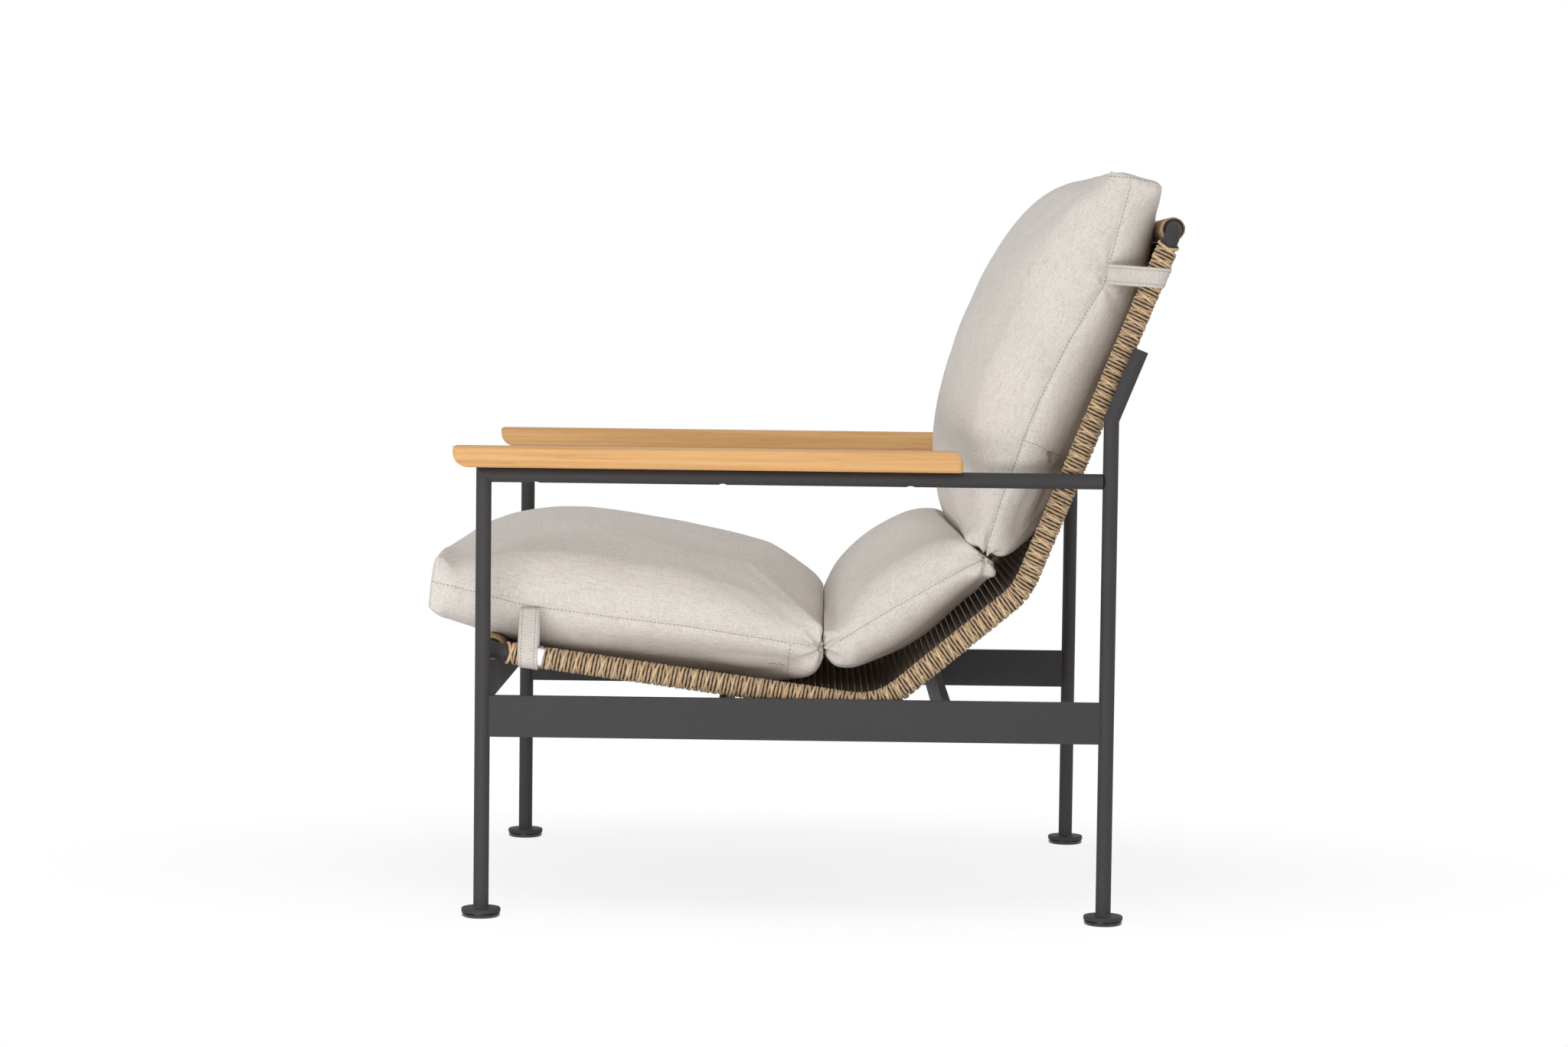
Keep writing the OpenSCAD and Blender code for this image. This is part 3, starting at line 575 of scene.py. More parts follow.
def grow(guide, tree, material, **values):
    """Runs a node tree on a guide, whose place its plain mesh takes."""
    name = guide.name
    modifier = guide.modifiers.new("grow", "NODES")
    modifier.node_group = tree
    sockets = {item.name: item.identifier for item in tree.interface.items_tree
               if item.item_type == "SOCKET" and item.in_out == "INPUT"}
    for key, value in dict(values, Material=material).items():
        modifier[sockets[key.replace("_", " ")]] = value
    bpy.context.view_layer.update()
    mesh = evaluated_mesh(guide)
    if not mesh.polygons:
        raise RuntimeError(f"{name}: the node tree made no faces")
    bpy.data.objects.remove(guide)
    mesh.name = name
    return new_object(name, mesh)


def wound_cord_tree(across):
    """A cord wound as a helix round the curve that comes in; across is a direction square to it."""
    t = Tree("wound_cord", "Radius", "Pitch", "Thickness", "Seed")
    g, index, across = t.given, t.geo("InputIndex"), t.xyz(*across)
    steps, loosen = 24, 0.00012
    fine = t.resampled(g["Geometry"], t.times(t.pitches(), steps))
    angle = t.over(t.times(index, 2 * math.pi), steps)
    out = t.vector("NORMALIZE", t.vector("CROSS_PRODUCT", across, t.geo("InputTangent")))
    jitter = t.random(-loosen, loosen, g["Seed"], ID=t.maths("FLOOR", t.over(index, 5.0)))
    radius = t.plus(g["Radius"], jitter)
    along = t.vector("SCALE", across, Scale=t.times(t.maths("COSINE", angle), radius))
    up = t.vector("SCALE", out, Scale=t.times(t.maths("SINE", angle), radius))
    wound = t.geo("SetPosition", Geometry=fine, Offset=t.vector("ADD", along, up))
    tilted = t.geo("SetCurveTilt", Curve=wound, Tilt=t.times(index, 2 * math.pi / 9))
    tube = t.cord(tilted, g["Thickness"], PINCH)
    return t.close(t.proud_for_gap_shade(tube, g["Radius"], g["Thickness"]))


def crossing_cord_tree():
    """Pairs of cords that cross in a V over the outer side of a side rail."""
    t = Tree("crossing_cords", "Pitch", "Radius", "Thickness", "Lean", "Side", "Seed")
    g = t.given
    line = t.geo("CurvePrimitiveLine", mode="POINTS", Start=(0, 0, 0), End=(1, 0, 0))
    fine = t.resampled(line, 15)
    share = t.maths("MULTIPLY_ADD", t.geo("SplineParameter"), 2.0, -1.0)
    angle = t.times(share, math.radians(118))
    both = t.node("GeometryNodeJoinGeometry")
    for way, rise in ((1.0, 0.0007), (-1.0, 0.0003)):
        bulge = t.maths("MULTIPLY_ADD", t.maths("COSINE", angle), rise, g["Radius"])
        x = t.times(t.times(t.maths("COSINE", angle), bulge), g["Side"])
        y = t.times(t.times(share, g["Lean"]), way)
        z = t.times(t.maths("SINE", angle), bulge)
        bent = t.geo("SetPosition", Geometry=fine, Position=t.xyz(x, y, z))
        t.put(both.inputs[0], t.cord(bent, g["Thickness"], 0.8))
    turn = t.plus(t.slope(), t.random(-0.09, 0.09, g["Seed"]))
    size = t.random(0.82, 1.18, t.plus(g["Seed"], 1.0))
    points = t.resampled(g["Geometry"], t.pitches())
    placed = t.placed(points, both.outputs[0], t.xyz(turn), t.xyz(1.0, size, 1.0))
    real = t.geo("RealizeInstances", Geometry=placed)
    return t.close(t.proud_for_gap_shade(real, t.plus(g["Radius"], 0.0003), g["Thickness"]))


def strung_cord_tree():
    """Cords strung side by side across the chair, one at each step along the curve that comes in; their colour is
    painted darker, as the shade under the cushion.
    """
    t = Tree("strung_cords", "Pitch", "Half length", "Width", "Thickness", "Seed")
    g, lay = t.given, 0.015
    half = g["Half length"]
    points = t.resampled(g["Geometry"], t.plus(t.pitches(), 1.0))
    line = t.geo("CurvePrimitiveLine", mode="POINTS", Start=t.xyz(t.times(half, -1.0)), End=t.xyz(half))
    fine = t.resampled(line, t.over(t.times(half, 12.0), lay))
    tilted = t.geo("SetCurveTilt", Curve=fine, Tilt=t.times(t.geo("InputIndex"), math.pi / 3))
    # Painted shade: one flat value of 0.72 darkens all the webbing's cords, for the shade under the cushion.
    cord = t.proud(t.cord(tilted, g["Width"], PINCH), 0.72)
    flat = t.xyz(1.0, 1.0, t.over(g["Thickness"], g["Width"]))
    placed = t.placed(points, cord, t.xyz(t.slope()), flat)
    slide = t.xyz(t.times(t.random(-0.5, 0.5, g["Seed"]), 0.001))
    return t.close(t.geo("TranslateInstances", Instances=placed, Translation=slide, Local_Space=False))


def stitch_tree():
    """Short stitches along the curve that comes in."""
    t = Tree("stitches", "Pitch", "Length")
    g, width = t.given, 0.0007
    spots = t.node("GeometryNodeCurveToPoints", mode="LENGTH", Curve=g["Geometry"], Length=g["Pitch"]).outputs
    bead = t.geo("MeshUVSphere", Segments=6, Rings=4, Radius=0.5)
    size = t.xyz(width, width, g["Length"])
    return t.close(t.placed(spots["Points"], bead, spots["Rotation"], size))


def sew(rows, material, length, piece, slot):
    """Stitches along rows of points, as one piece."""
    settle(grow(guide_curve(piece, *rows), stitch_tree(), material, Pitch=length * 1.35, Length=length),
           piece, slot)


# ---------- operators for frame and rope ----------
class CHAIR_OT_frame(bpy.types.Operator):
    """Powder coat on the welded frame, the sling's tube, the crossbars and the foot discs"""
    bl_idname = "chair.frame"
    bl_label = "Frame finish"

    def execute(self, context):
        dress(powder_coat(), "front_leg", "rear_leg", "leg_cap", "arm_rail", "side_stretcher", "front_cross",
              "middle_cross", "rear_cross", "back_cross", "sling_", "foot_disc")
        return {"FINISHED"}


class CHAIR_OT_armrests(bpy.types.Operator):
    """Oiled teak on the armrests"""
    bl_idname = "chair.armrests"
    bl_label = "Armrests"

    def execute(self, context):
        dress(teak_wood(), "armrest_left", "armrest_right")
        return {"FINISHED"}


class CHAIR_OT_fixings(bpy.types.Operator):
    """Screws, bolts and the plastic glides under the feet"""
    bl_idname = "chair.fixings"
    bl_label = "Fixings and glides"

    def execute(self, context):
        steel = plain("fastener_steel", tint("steel"), 0.5, metallic=1.0)
        dress(steel, "armrest_screws", "tab_bolts", "back_bolts")
        dress(plain("gloss_plastic", tint("glide"), 0.22, coat=0.4), "foot_glide")
        return {"FINISHED"}


class CHAIR_OT_rope_wraps(bpy.types.Operator):
    """Rope wound round the sling's rails"""
    bl_idname = "chair.rope_wraps"
    bl_label = "Rope wraps"

    def execute(self, context):
        s, sling, rope = setting("sling"), Sling(), twisted_rope()
        side_margin, end_margin, proud = 0.026, 0.002, 0.0006
        low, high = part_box("rope_wrap_front")
        paths = {side: sling.line(side_margin, sling.marks[-1] - side_margin, 0.01, sign * RAIL_X)
                 for side, sign in SIDES.items()}
        for end, rail in (("front", FRONT_RAIL), ("top", TOP_RAIL)):
            paths[end] = [(x, rail.y, rail.z) for x in np.linspace(low.x + end_margin, high.x - end_margin, 60)]
        for seed, (place, points) in enumerate(paths.items()):
            beside = place in SIDES
            layer, across = (s.side_rope, (1.0, 0.0)) if beside else (s.end_rope, (0.0, 1.0))
            obj = grow(guide_curve("rope_" + place, points), wound_cord_tree(across), rope,
                       Radius=TUBE + layer / 2, Pitch=s.wrap_pitch, Thickness=layer + proud, Seed=seed)
            if beside:
                join(obj, grow(guide_curve("crossing_" + place, points), crossing_cord_tree(), rope,
                               Pitch=s.cross_pitch, Radius=TUBE + layer / 2 + proud, Thickness=layer,
                               Lean=s.cross_lean, Side=float(SIDES[place]), Seed=11 + seed))
            settle(obj, "wound_rope_" + place, "rope", "rope_wrap_" + place)
        return {"FINISHED"}


class CHAIR_OT_webbing(bpy.types.Operator):
    """Rope strung from side to side under the cushion"""
    bl_idname = "chair.webbing"
    bl_label = "Webbing"

    def execute(self, context):
        s, sling, rope, tree = setting("sling"), Sling(), twisted_rope(), strung_cord_tree()
        m = sling.marks
        rail, inset = TUBE + s.end_rope + 0.0003, s.cord_pitch / 2
        stops = [rail, (m[1] + m[2]) / 2, (m[3] + m[4]) / 2, m[5] - rail]
        for seed, name in enumerate(SECTIONS):
            line = sling.line(stops[seed] + inset, stops[seed + 1] - inset, 0.004)
            obj = grow(guide_curve("strung_" + name, line), tree, rope, Pitch=s.cord_pitch,
                       Half_length=RAIL_X - TUBE - s.side_rope + 0.001, Width=s.cord_pitch + 0.0006,
                       Thickness=s.cord_thick, Seed=seed)
            settle(obj, "strung_rope_" + name, "rope", name + "_webbing")
        return {"FINISHED"}


# ---------- cushion ----------
# Sections of the cushion, in millimetres along their run and off it: the outline in the side view, the
# side seam that it draws in to, the ends and half heights of the boxed ends, how crisp these are, and the
# lines of stitches
SECTIONS = {
    "seat": dict(
        run=0,
        outline=[(-68, 18), (-85, 38), (-90, 68), (-83, 100), (-61, 120), (-30, 138), (8, 150), (60, 156),
                 (107, 158), (201, 155), (299, 146), (350, 137), (380, 122), (393, 90), (400, 55), (401, 28),
                 (382, 8), (340, 3), (200, 3), (100, 3), (50, 4), (-18, 14)],
        stitch=[(-83, 68), (24, 56), (219, 58), (380, 58)], ends=(-83, 384), box=(34, 27), crisp=(1.0, 0.75),
        seams=[[(-84, 68), (-55, 66), (-27, 63), (24, 57), (47, 56), (130, 57), (219, 59), (348, 57), (382, 57)],
               [(-83, 100), (-84, 85), (-84.5, 68), (-84.5, 52), (-84, 38)],
               [(349, 54), (349.5, 34), (351, 16)],
               [(329, 28), (331, 30), (333, 27), (335, 30), (337, 27), (339, 30), (341, 27), (343, 30),
                (345, 28)]]),
    "lumbar": dict(
        run=1,
        outline=[(26, 130), (56, 145), (100, 151), (140, 148), (176, 138), (199, 119), (211, 98), (219, 75),
                 (223, 50), (214, 34), (189, 30), (130, 29), (79, 29), (30, 36), (0, 44), (-19, 58), (-22, 76),
                 (-15, 96), (1, 116)],
        stitch=[(-10, 88), (83, 78), (150, 67), (212, 55)], ends=(-6, 209), box=(24, 25), crisp=(0.7, 0.85),
        seams=[[(-4, 89), (40, 84), (83, 78), (150, 67), (209, 56)]]),
    "back": dict(
        run=2,
        outline=[(16, 60), (21, 88), (41, 111), (85, 132), (135, 154), (203, 169), (285, 172), (374, 169),
                 (447, 154), (480, 124), (497, 86), (508, 52), (510, 30), (495, 21), (470, 19), (440, 14),
                 (400, 6), (350, 3), (200, 3), (80, 3), (46, 7), (22, 19), (12, 40)],
        stitch=[(30, 58), (128, 64), (244, 65), (368, 51), (480, 66)], ends=(24, 500), box=(26, 32),
        crisp=(0.7, 1.0),
        seams=[[(28, 57), (45, 58), (95, 63), (128, 64), (164, 67), (213, 67), (244, 65), (295, 62), (368, 50),
                (391, 53), (440, 60), (486, 66)],
               [(488, 92), (493, 78), (497, 66), (500, 50), (502, 36)],
               [(164, 64), (165, 50), (164, 38), (162, 30), (164, 16)]]),
}
# Depth from the boxed ends at which the boxing has faded, and height above the seam at which the crown
# has drawn down in full
BOX_DEPTH, CROWN_DEPTH = 0.03, 0.06
# Pleats that fan out from a root on the side seam: (run, place), height, reach, folds
PLEATS = [((0, (384, 57)), 9.0, 17, 7), ((1, (206, 57)), 8.5, 17, 7), ((2, (28, 58)), 5.0, 13, 7),
          ((2, (391, 53)), 1.3, 34, 6), ((2, (366, 50)), 1.4, 40, 5), ((0, (34, 56)), 0.9, 18, 6),
          ((2, (486, 96)), 2.6, 14, 7), ((2, (500, 34)), 1.6, 14, 5), ((0, (-84, 103)), 1.8, 16, 6),
          ((0, (-85, 36)), 1.8, 16, 6)]


def closed_curve(points, count):
    """Even points along a smooth closed curve through points."""
    p = np.array(points, float)
    n, dense = len(p), []
    for i in range(n):
        a, b, c, d = p[i - 1], p[i], p[(i + 1) % n], p[(i + 2) % n]
        for t in np.linspace(0, 1, 12, endpoint=False):
            dense.append(0.5 * (2 * b + (c - a) * t + (2 * a - 5 * b + 4 * c - d) * t * t
                                + (3 * b - a - 3 * c + d) * t ** 3))
    return walk(np.array(dense + [dense[0]]), lambda size: np.linspace(0, size, count, endpoint=False))


def walk(p, places):
    """Points of a line at the places that are named for its length."""
    along = np.concatenate([[0], np.cumsum(np.linalg.norm(np.diff(p, axis=0), axis=1))])
    at = places(along[-1])
    return np.stack([np.interp(at, along, p[:, k]) for k in (0, 1)], axis=1)


def seam_level(part, along):
    """Height of a section's side seam at places along its run."""
    x, y = np.array(part["stitch"], float).T * MM
    return np.interp(along, x, y)


def cushion_form(sling, part, shrink):
    """Closed pillow form: its outline draws in to the seam line on both sides."""
    c = setting("cushion")
    outline = closed_curve(part["outline"], 120) * MM
    along, height = outline.T
    start, end = np.array(part["ends"]) * MM
    inside = np.clip(along, start, end)
    seam = seam_level(part, inside)
    boxed, spread = np.zeros(len(outline)), np.zeros(len(outline))
    for depth, reach in zip((along - start, end - along), part["box"]):
        near = np.clip(1 - depth / BOX_DEPTH, 0, 1)
        spread = np.maximum(spread, np.clip(near * 2, 0, 1) * reach * MM)
        boxed = np.maximum(boxed, near * np.clip(1.6 - np.abs(height - seam) / (reach * MM), 0, 1))
    core = np.stack([inside, np.clip(height, seam - spread, seam + spread)], axis=1)
    upper = np.clip((height - seam) / CROWN_DEPTH, 0, 1)
    crisp = np.where(along < (start + end) / 2, *part["crisp"])
    rounding = c.side_round + (c.box_round - c.side_round) * boxed * crisp
    flat = c.half_width - rounding
    # Stations across: (share of the flat width, share of the rounding, share of the outline)
    power, least = 2.8, 0.02
    stations = [(f, 0.0, 1.0) for f in np.linspace(0, 1, 9)]
    for t in np.linspace(0, 1, 12)[1:]:
        w = (1 - t) ** 0.8
        stations.append((1.0, (1 - w ** power) ** (1 / power), max(w, least)))
    stations = [(-f, -g, q) for f, g, q in reversed(stations[1:])] + stations
    points, n = [], len(outline)
    for f, g, q in stations:
        lowered = outline.copy()
        lowered[:, 1] -= upper * c.crown * f * f
        ring = core + q * (lowered - core)
        inward = core - ring
        size = sizes(inward, 1e-6)
        ring = ring + inward / size * np.minimum(size * 0.9, shrink)
        side = (f * flat + g * rounding) * (1 - shrink / c.half_width)
        points += [sling.world(part["run"], p, x) for p, x in zip(ring, side)]
    last = (len(stations) - 1) * n
    faces = [[j + i, j + (i + 1) % n, j + n + (i + 1) % n, j + n + i] for j in range(0, last, n) for i in range(n)]
    faces += [list(range(n))[::-1], [last + i for i in range(n)]]
    return outwards(mesh_object("form", points, faces))


def outwards(obj):
    """Turns all faces outwards."""
    bm = bmesh.new()
    bm.from_mesh(obj.data)
    bmesh.ops.recalc_face_normals(bm, faces=bm.faces)
    bm.to_mesh(obj.data)
    bm.free()
    return obj


def bake(obj):
    """Applies an object's modifiers."""
    mesh = evaluated_mesh(obj)
    obj.modifiers.clear()
    obj.data = mesh
    return obj


def vertex_rows(mesh, field="co"):
    values = np.empty(len(mesh.vertices) * 3, np.float32)
    mesh.vertices.foreach_get(field, values)
    return values.reshape(-1, 3).astype(float)


def set_vertices(mesh, co):
    mesh.vertices.foreach_set("co", co.astype(np.float32).ravel())
    mesh.update()


def sizes(rows, least):
    """Length of each row, and no less than least."""
    return np.maximum(np.linalg.norm(rows, axis=1, keepdims=True), least)


def ease(mesh, move, rounds, keep):
    """Broad part of a move, with a share of its finer wrinkles kept."""
    ends = np.empty(len(mesh.edges) * 2, np.int32)
    mesh.edges.foreach_get("vertices", ends)
    a, b = ends.reshape(-1, 2).T
    count = np.bincount(np.concatenate([a, b]), minlength=len(move))[:, None]
    broad = move.copy()
    for _ in range(rounds):
        total = np.stack([np.bincount(a, broad[b, k], len(move)) + np.bincount(b, broad[a, k], len(move))
                          for k in range(3)], axis=1)
        broad = (broad + total) / (1 + count)
    return broad + (move - broad) * keep


def swell(obj, held):
    """Cloth under pressure, applied, with each point's move capped. held is how firmly each point is held."""
    c, frames = setting("cushion"), 20
    start = vertex_rows(obj.data)
    pins = obj.vertex_groups.new(name="held")
    for i in np.nonzero(held > 0.02)[0]:
        pins.add([int(i)], float(held[i]), "REPLACE")
    cloth = obj.modifiers.new("cloth", "CLOTH")
    s = cloth.settings
    s.vertex_group_mass = "held"
    s.quality, s.mass = 6, 0.3
    s.tension_stiffness = s.compression_stiffness = 12
    s.shear_stiffness, s.bending_stiffness = 6, 0.6
    s.use_pressure, s.uniform_pressure_force = True, 4.0
    s.effector_weights.gravity = 0
    cloth.point_cache.frame_start, cloth.point_cache.frame_end = 1, frames
    scene = bpy.context.scene
    for f in range(1, frames + 1):
        scene.frame_set(f)
    move = ease(bake(obj).data, vertex_rows(obj.data) - start, 60, c.wrinkle)
    set_vertices(obj.data, start + move * np.minimum(1, c.swell / sizes(move, 1e-9)))
    scene.frame_set(1)


def seam_distance(sling, part, co):
    """Distance of points from the side seam and from the boxed ends' cross seams."""
    along, height = sling.local(part["run"], co).T
    off = height - seam_level(part, along)
    side = np.maximum(0, setting("cushion").half_width - 0.012 - np.abs(co[:, 0]))
    near = np.hypot(off, side)
    for end, reach, crisp in zip(part["ends"], part["box"], part["crisp"]):
        if crisp == 1:
            over = np.maximum(0, np.abs(off) - reach * MM)
            near = np.minimum(near, np.sqrt((along - end * MM) ** 2 + over ** 2 + side ** 2))
    return near


def press_flat(co, point, normal, gap=0.0002):
    """Points beyond a plane come back to it."""
    beyond = (co - point) @ normal + gap
    return co - np.outer(np.maximum(beyond, 0), normal)


def rest_on_sling(sling, co):
    """Points come up to the webbing and to the end rails' rope."""
    s = setting("sling")
    # Air left above the webbing and round the end rails
    webbing_air, rail_air = 0.0008, 0.001
    stations = np.linspace(0, sling.marks[-1], 600)
    line = np.array([sling.place(t) for t in stations])
    turn = np.array([sling.heading(t) for t in stations])
    up = np.stack([-np.sin(turn), np.cos(turn)], axis=1)
    yz = co[:, 1:].copy()
    near = np.array([int(np.argmin(((line - p) ** 2).sum(1))) for p in yz])
    off = ((yz - line[near]) * up[near]).sum(1)
    inside = (near > 0) & (near < len(line) - 1)
    lift = np.where(inside, np.maximum(0, s.cord_thick / 2 + webbing_air - off), 0)
    yz += up[near] * lift[:, None]
    for rail in (sling.front, sling.top):
        size = sizes(yz - rail, 1e-9)
        yz = rail + (yz - rail) / size * np.maximum(size, TUBE + s.end_rope + rail_air)
    return np.column_stack([co[:, 0], yz])


def creases(sling):
    """Planes on which neighbouring sections press: (point, normal towards the next section)."""
    first = np.array([0.0, sling.corners[1][0] - setting("cushion").crease, 0.0])
    a, b = (np.array(sling.world(2, p)) for p in ((0.017, 0.041), (0.036, 0.110)))
    along = (b - a) / np.linalg.norm(b - a)
    return [(first, np.array([0.0, 1.0, 0.0])), (a, np.array([0.0, along[2], -along[1]]))]


class CHAIR_OT_cushion(bpy.types.Operator):
    """The cushion's three sewn sections"""
    bl_idname = "chair.cushion"
    bl_label = "Cushion"

    def execute(self, context):
        sling, c = Sling(), setting("cushion")
        planes = creases(sling)
        for order, (name, part) in enumerate(SECTIONS.items()):
            obj = cushion_form(sling, part, c.take_in)
            m = obj.modifiers.new("remesh", "REMESH")
            m.mode, m.voxel_size = "VOXEL", c.voxel
            bake(obj)
            # The cloth is held along its seams and let go within a short reach of them
            near, reach = seam_distance(sling, part, vertex_rows(obj.data)), 0.012
            swell(obj, np.clip(1.3 - near / reach, 0, 1))
            smooth = obj.modifiers.new("smooth", "SUBSURF")
            smooth.levels = smooth.render_levels = 1
            co = self.sewn(bake(obj).data, sling, part, order)
            # The section draws back from the creases with the one before and the one behind it
            if order > 0:
                co = press_flat(co, planes[order - 1][0], -planes[order - 1][1])
            if order < len(planes):
                co = press_flat(co, *planes[order])
            set_vertices(obj.data, rest_on_sling(sling, co))
            obj.data.materials.clear()
            obj.data.materials.append(linen_weave("linen_weave_" + name, sling.turns[part["run"]]))
            obj.data.shade_smooth()
            settle(obj, name + "_cushion", "cushion_fabric", name + "_pad")
        return {"FINISHED"}

    def sewn(self, mesh, sling, part, order):
        """Points of a section with seam grooves, puckers, pleats and the cloth's soft unevenness."""
        c = setting("cushion")
        co = vertex_rows(mesh)
        normals = vertex_rows(mesh, "normal")
        near = seam_distance(sling, part, co)
        along = sling.local(part["run"], co)[:, 0]
        ripple = np.array([noise.noise((a * 62, x * 9, order * 7.0)) for a, x in zip(along, co[:, 0])])
        soft = np.array([noise.noise((x * 11, y * 15 + 5 * order, z * 15)) for x, y, z in co])
        groove_width, pucker_place, pucker_width = 0.0035, 0.009, 0.013
        depth = -c.seam_groove * np.exp(-(near / groove_width) ** 2)
        depth += c.pucker * ripple * np.exp(-((near - pucker_place) / pucker_width) ** 2)
        depth += c.rumple * soft
        for (run, at), height, reach, folds in PLEATS:
            for side in SIDES.values():
                away = co - sling.world(run, np.array(at) * MM, side * c.half_width)
                far = np.linalg.norm(away, axis=1)
                turn = np.arctan2(away[:, 2], away[:, 1])
                fold = np.sin(folds * turn + 1.7 * side + 40 * far)
                depth += height * MM * fold * np.exp(-far / (reach * MM)) * np.minimum(1, far / 0.006)
        return co + normals * depth[:, None]


# ---------- seams and straps ----------
def on_cushion(sling, run, points, side, skin, lift=0.0003, step=2.0):
    """Points of a side view line (mm in a run's frame) laid on a section's side."""
    laid, outside, reach = [], 0.36, 0.2
    for spot in walk(np.array(points, float), lambda size: np.minimum(np.arange(0, size + step, step), size)):
        start = Vector(sling.world(run, spot * MM, side * outside))
        hit, normal, _, _ = skin.ray_cast(start, Vector((-side, 0, 0)), reach)
        if hit is not None:
            laid.append(tuple(hit + normal * lift))
    return laid


class CHAIR_OT_stitching(bpy.types.Operator):
    """Side seams, cross seams and the zip end on the cushion"""
    bl_idname = "chair.stitching"
    bl_label = "Stitching"

    def execute(self, context):
        sling, thread = Sling(), plain("seam_thread", tint("seam_thread"), 0.85)
        for name, part in SECTIONS.items():
            skin = BVHTree.FromObject(bpy.data.objects[name + "_cushion"], bpy.context.evaluated_depsgraph_get())
            rows = [on_cushion(sling, part["run"], line, side, skin)
                    for side in SIDES.values() for line in part["seams"]]
            rows = [row for row in rows if len(row) > 1]
            if not rows:
                raise RuntimeError("no seam found on " + name)
            sew(rows, thread, setting("cushion").stitch, name + "_seam_stitches", "cushion_fabric")
        # The last section is the back, which has the zip's end on its left side
        self.puller(on_cushion(sling, part["run"], [(163, 38), (161, 30)], 1, skin, 0.0012))
        return {"FINISHED"}

    def puller(self, spots):
        """Small zip puller: a slider with a hanging tab."""
        at = Vector(spots[len(spots) // 2])
        bm = bmesh.new()
        for size, shift in (((0.0024, 0.0062, 0.0044), (0, 0, 0)),
                            ((0.0012, 0.0034, 0.0095), (0.0008, 0.001, -0.006))):
            made = bmesh.ops.create_cube(bm, size=1.0)["verts"]
            bmesh.ops.scale(bm, vec=size, verts=made)
            bmesh.ops.translate(bm, vec=at + Vector(shift), verts=made)
        bmesh.ops.bevel(bm, geom=bm.edges[:], offset=0.0005, segments=2, affect="EDGES")
        mesh = bpy.data.meshes.new("puller")
        bm.to_mesh(mesh)
        bm.free()
        mesh.materials.append(plain("puller_steel", (0.12, 0.11, 0.11, 1), 0.5, 1.0))
        settle(new_object("puller", mesh), "zip_puller", "screw_steel")


def turned(p, a):
    """Point or direction p of the side view, turned by a."""
    return (p[0] * math.cos(a) - p[1] * math.sin(a), p[0] * math.sin(a) + p[1] * math.cos(a))


def strap_columns(sling, run, along, tilt, side):
    """Columns of points along a strap's loop, one for each step across its width, with outward normals."""
    s, air = setting("strap"), 0.0016
    seam = np.array([setting("cushion").half_width + air, s.seam_height])
    core = TUBE + setting("sling").side_rope + air
    columns = []
    for v in np.linspace(-1, 1, 13):
        centre = np.array([RAIL_X, -v * s.width / 2 * math.tan(tilt)])
        to_seam = seam - centre
        base, half = math.atan2(to_seam[1], to_seam[0]), math.acos(core / np.linalg.norm(to_seam))
        out = [Sling.unit(t) for t in np.linspace(base - half, base + half - 2 * math.pi, 26)]
        loop = [centre + core * n for n in out]
        lead = np.linspace(0, 1, 14, endpoint=False)
        slack = 0.0022 * (1 + 0.5 * v)
        first = [seam + (loop[0] - seam) * f + out[0] * slack * math.sin(math.pi * f) for f in lead]
        last = [loop[-1] + (seam - loop[-1]) * f + out[-1] * slack * math.sin(math.pi * f) for f in lead + lead[1]]
        facing = [out[0]] * len(first) + out + [out[-1]] * len(last)
        column = []
        for p, n in zip(first + loop + last, facing):
            flat = turned((v * s.width / 2, p[1]), tilt)
            spot = sling.world(run, (along + flat[0], flat[1]), side * p[0])
            normal = (side * n[0], *turned(turned((0.0, n[1]), tilt), sling.turns[run]))
            column.append((np.array(spot), np.array(normal)))
        columns.append(column)
    return columns


def strap_mesh(name, columns, outer, inner, thick, hem):
    """Closed band with folded hems; the inner side shows the lining."""
    rows, n = len(columns), len(columns[0])
    points = []
    for skin in (1, -1):
        for i, column in enumerate(columns):
            edge = min(i, rows - 1 - i)
            t = thick / 2 + (hem if edge in (1, 2) else 0.0) - (thick * 0.3 if edge == 0 else 0)
            points += [p + normal * skin * t for p, normal in column]

    def at(skin, i, j):
        return (skin * rows + i) * n + j

    faces, tags = [], []
    for i in range(rows - 1):
        for j in range(n - 1):
            faces.append([at(0, i, j), at(0, i + 1, j), at(0, i + 1, j + 1), at(0, i, j + 1)])
            faces.append([at(1, i, j), at(1, i, j + 1), at(1, i + 1, j + 1), at(1, i + 1, j)])
            tags += [0, 1]
    # The band's rim: its two long edges, then its two ends
    for j in range(n - 1):
        faces.append([at(0, 0, j), at(0, 0, j + 1), at(1, 0, j + 1), at(1, 0, j)])
        faces.append([at(0, rows - 1, j), at(1, rows - 1, j), at(1, rows - 1, j + 1), at(0, rows - 1, j + 1)])
        tags += [0, 0]
    for i in range(rows - 1):
        faces.append([at(0, i, 0), at(1, i, 0), at(1, i + 1, 0), at(0, i + 1, 0)])
        faces.append([at(0, i, n - 1), at(0, i + 1, n - 1), at(1, i + 1, n - 1), at(1, i, n - 1)])
        tags += [0, 0]
    obj = mesh_object(name, points, faces, outer, inner)
    obj.data.polygons.foreach_set("material_index", tags)
    return outwards(obj)


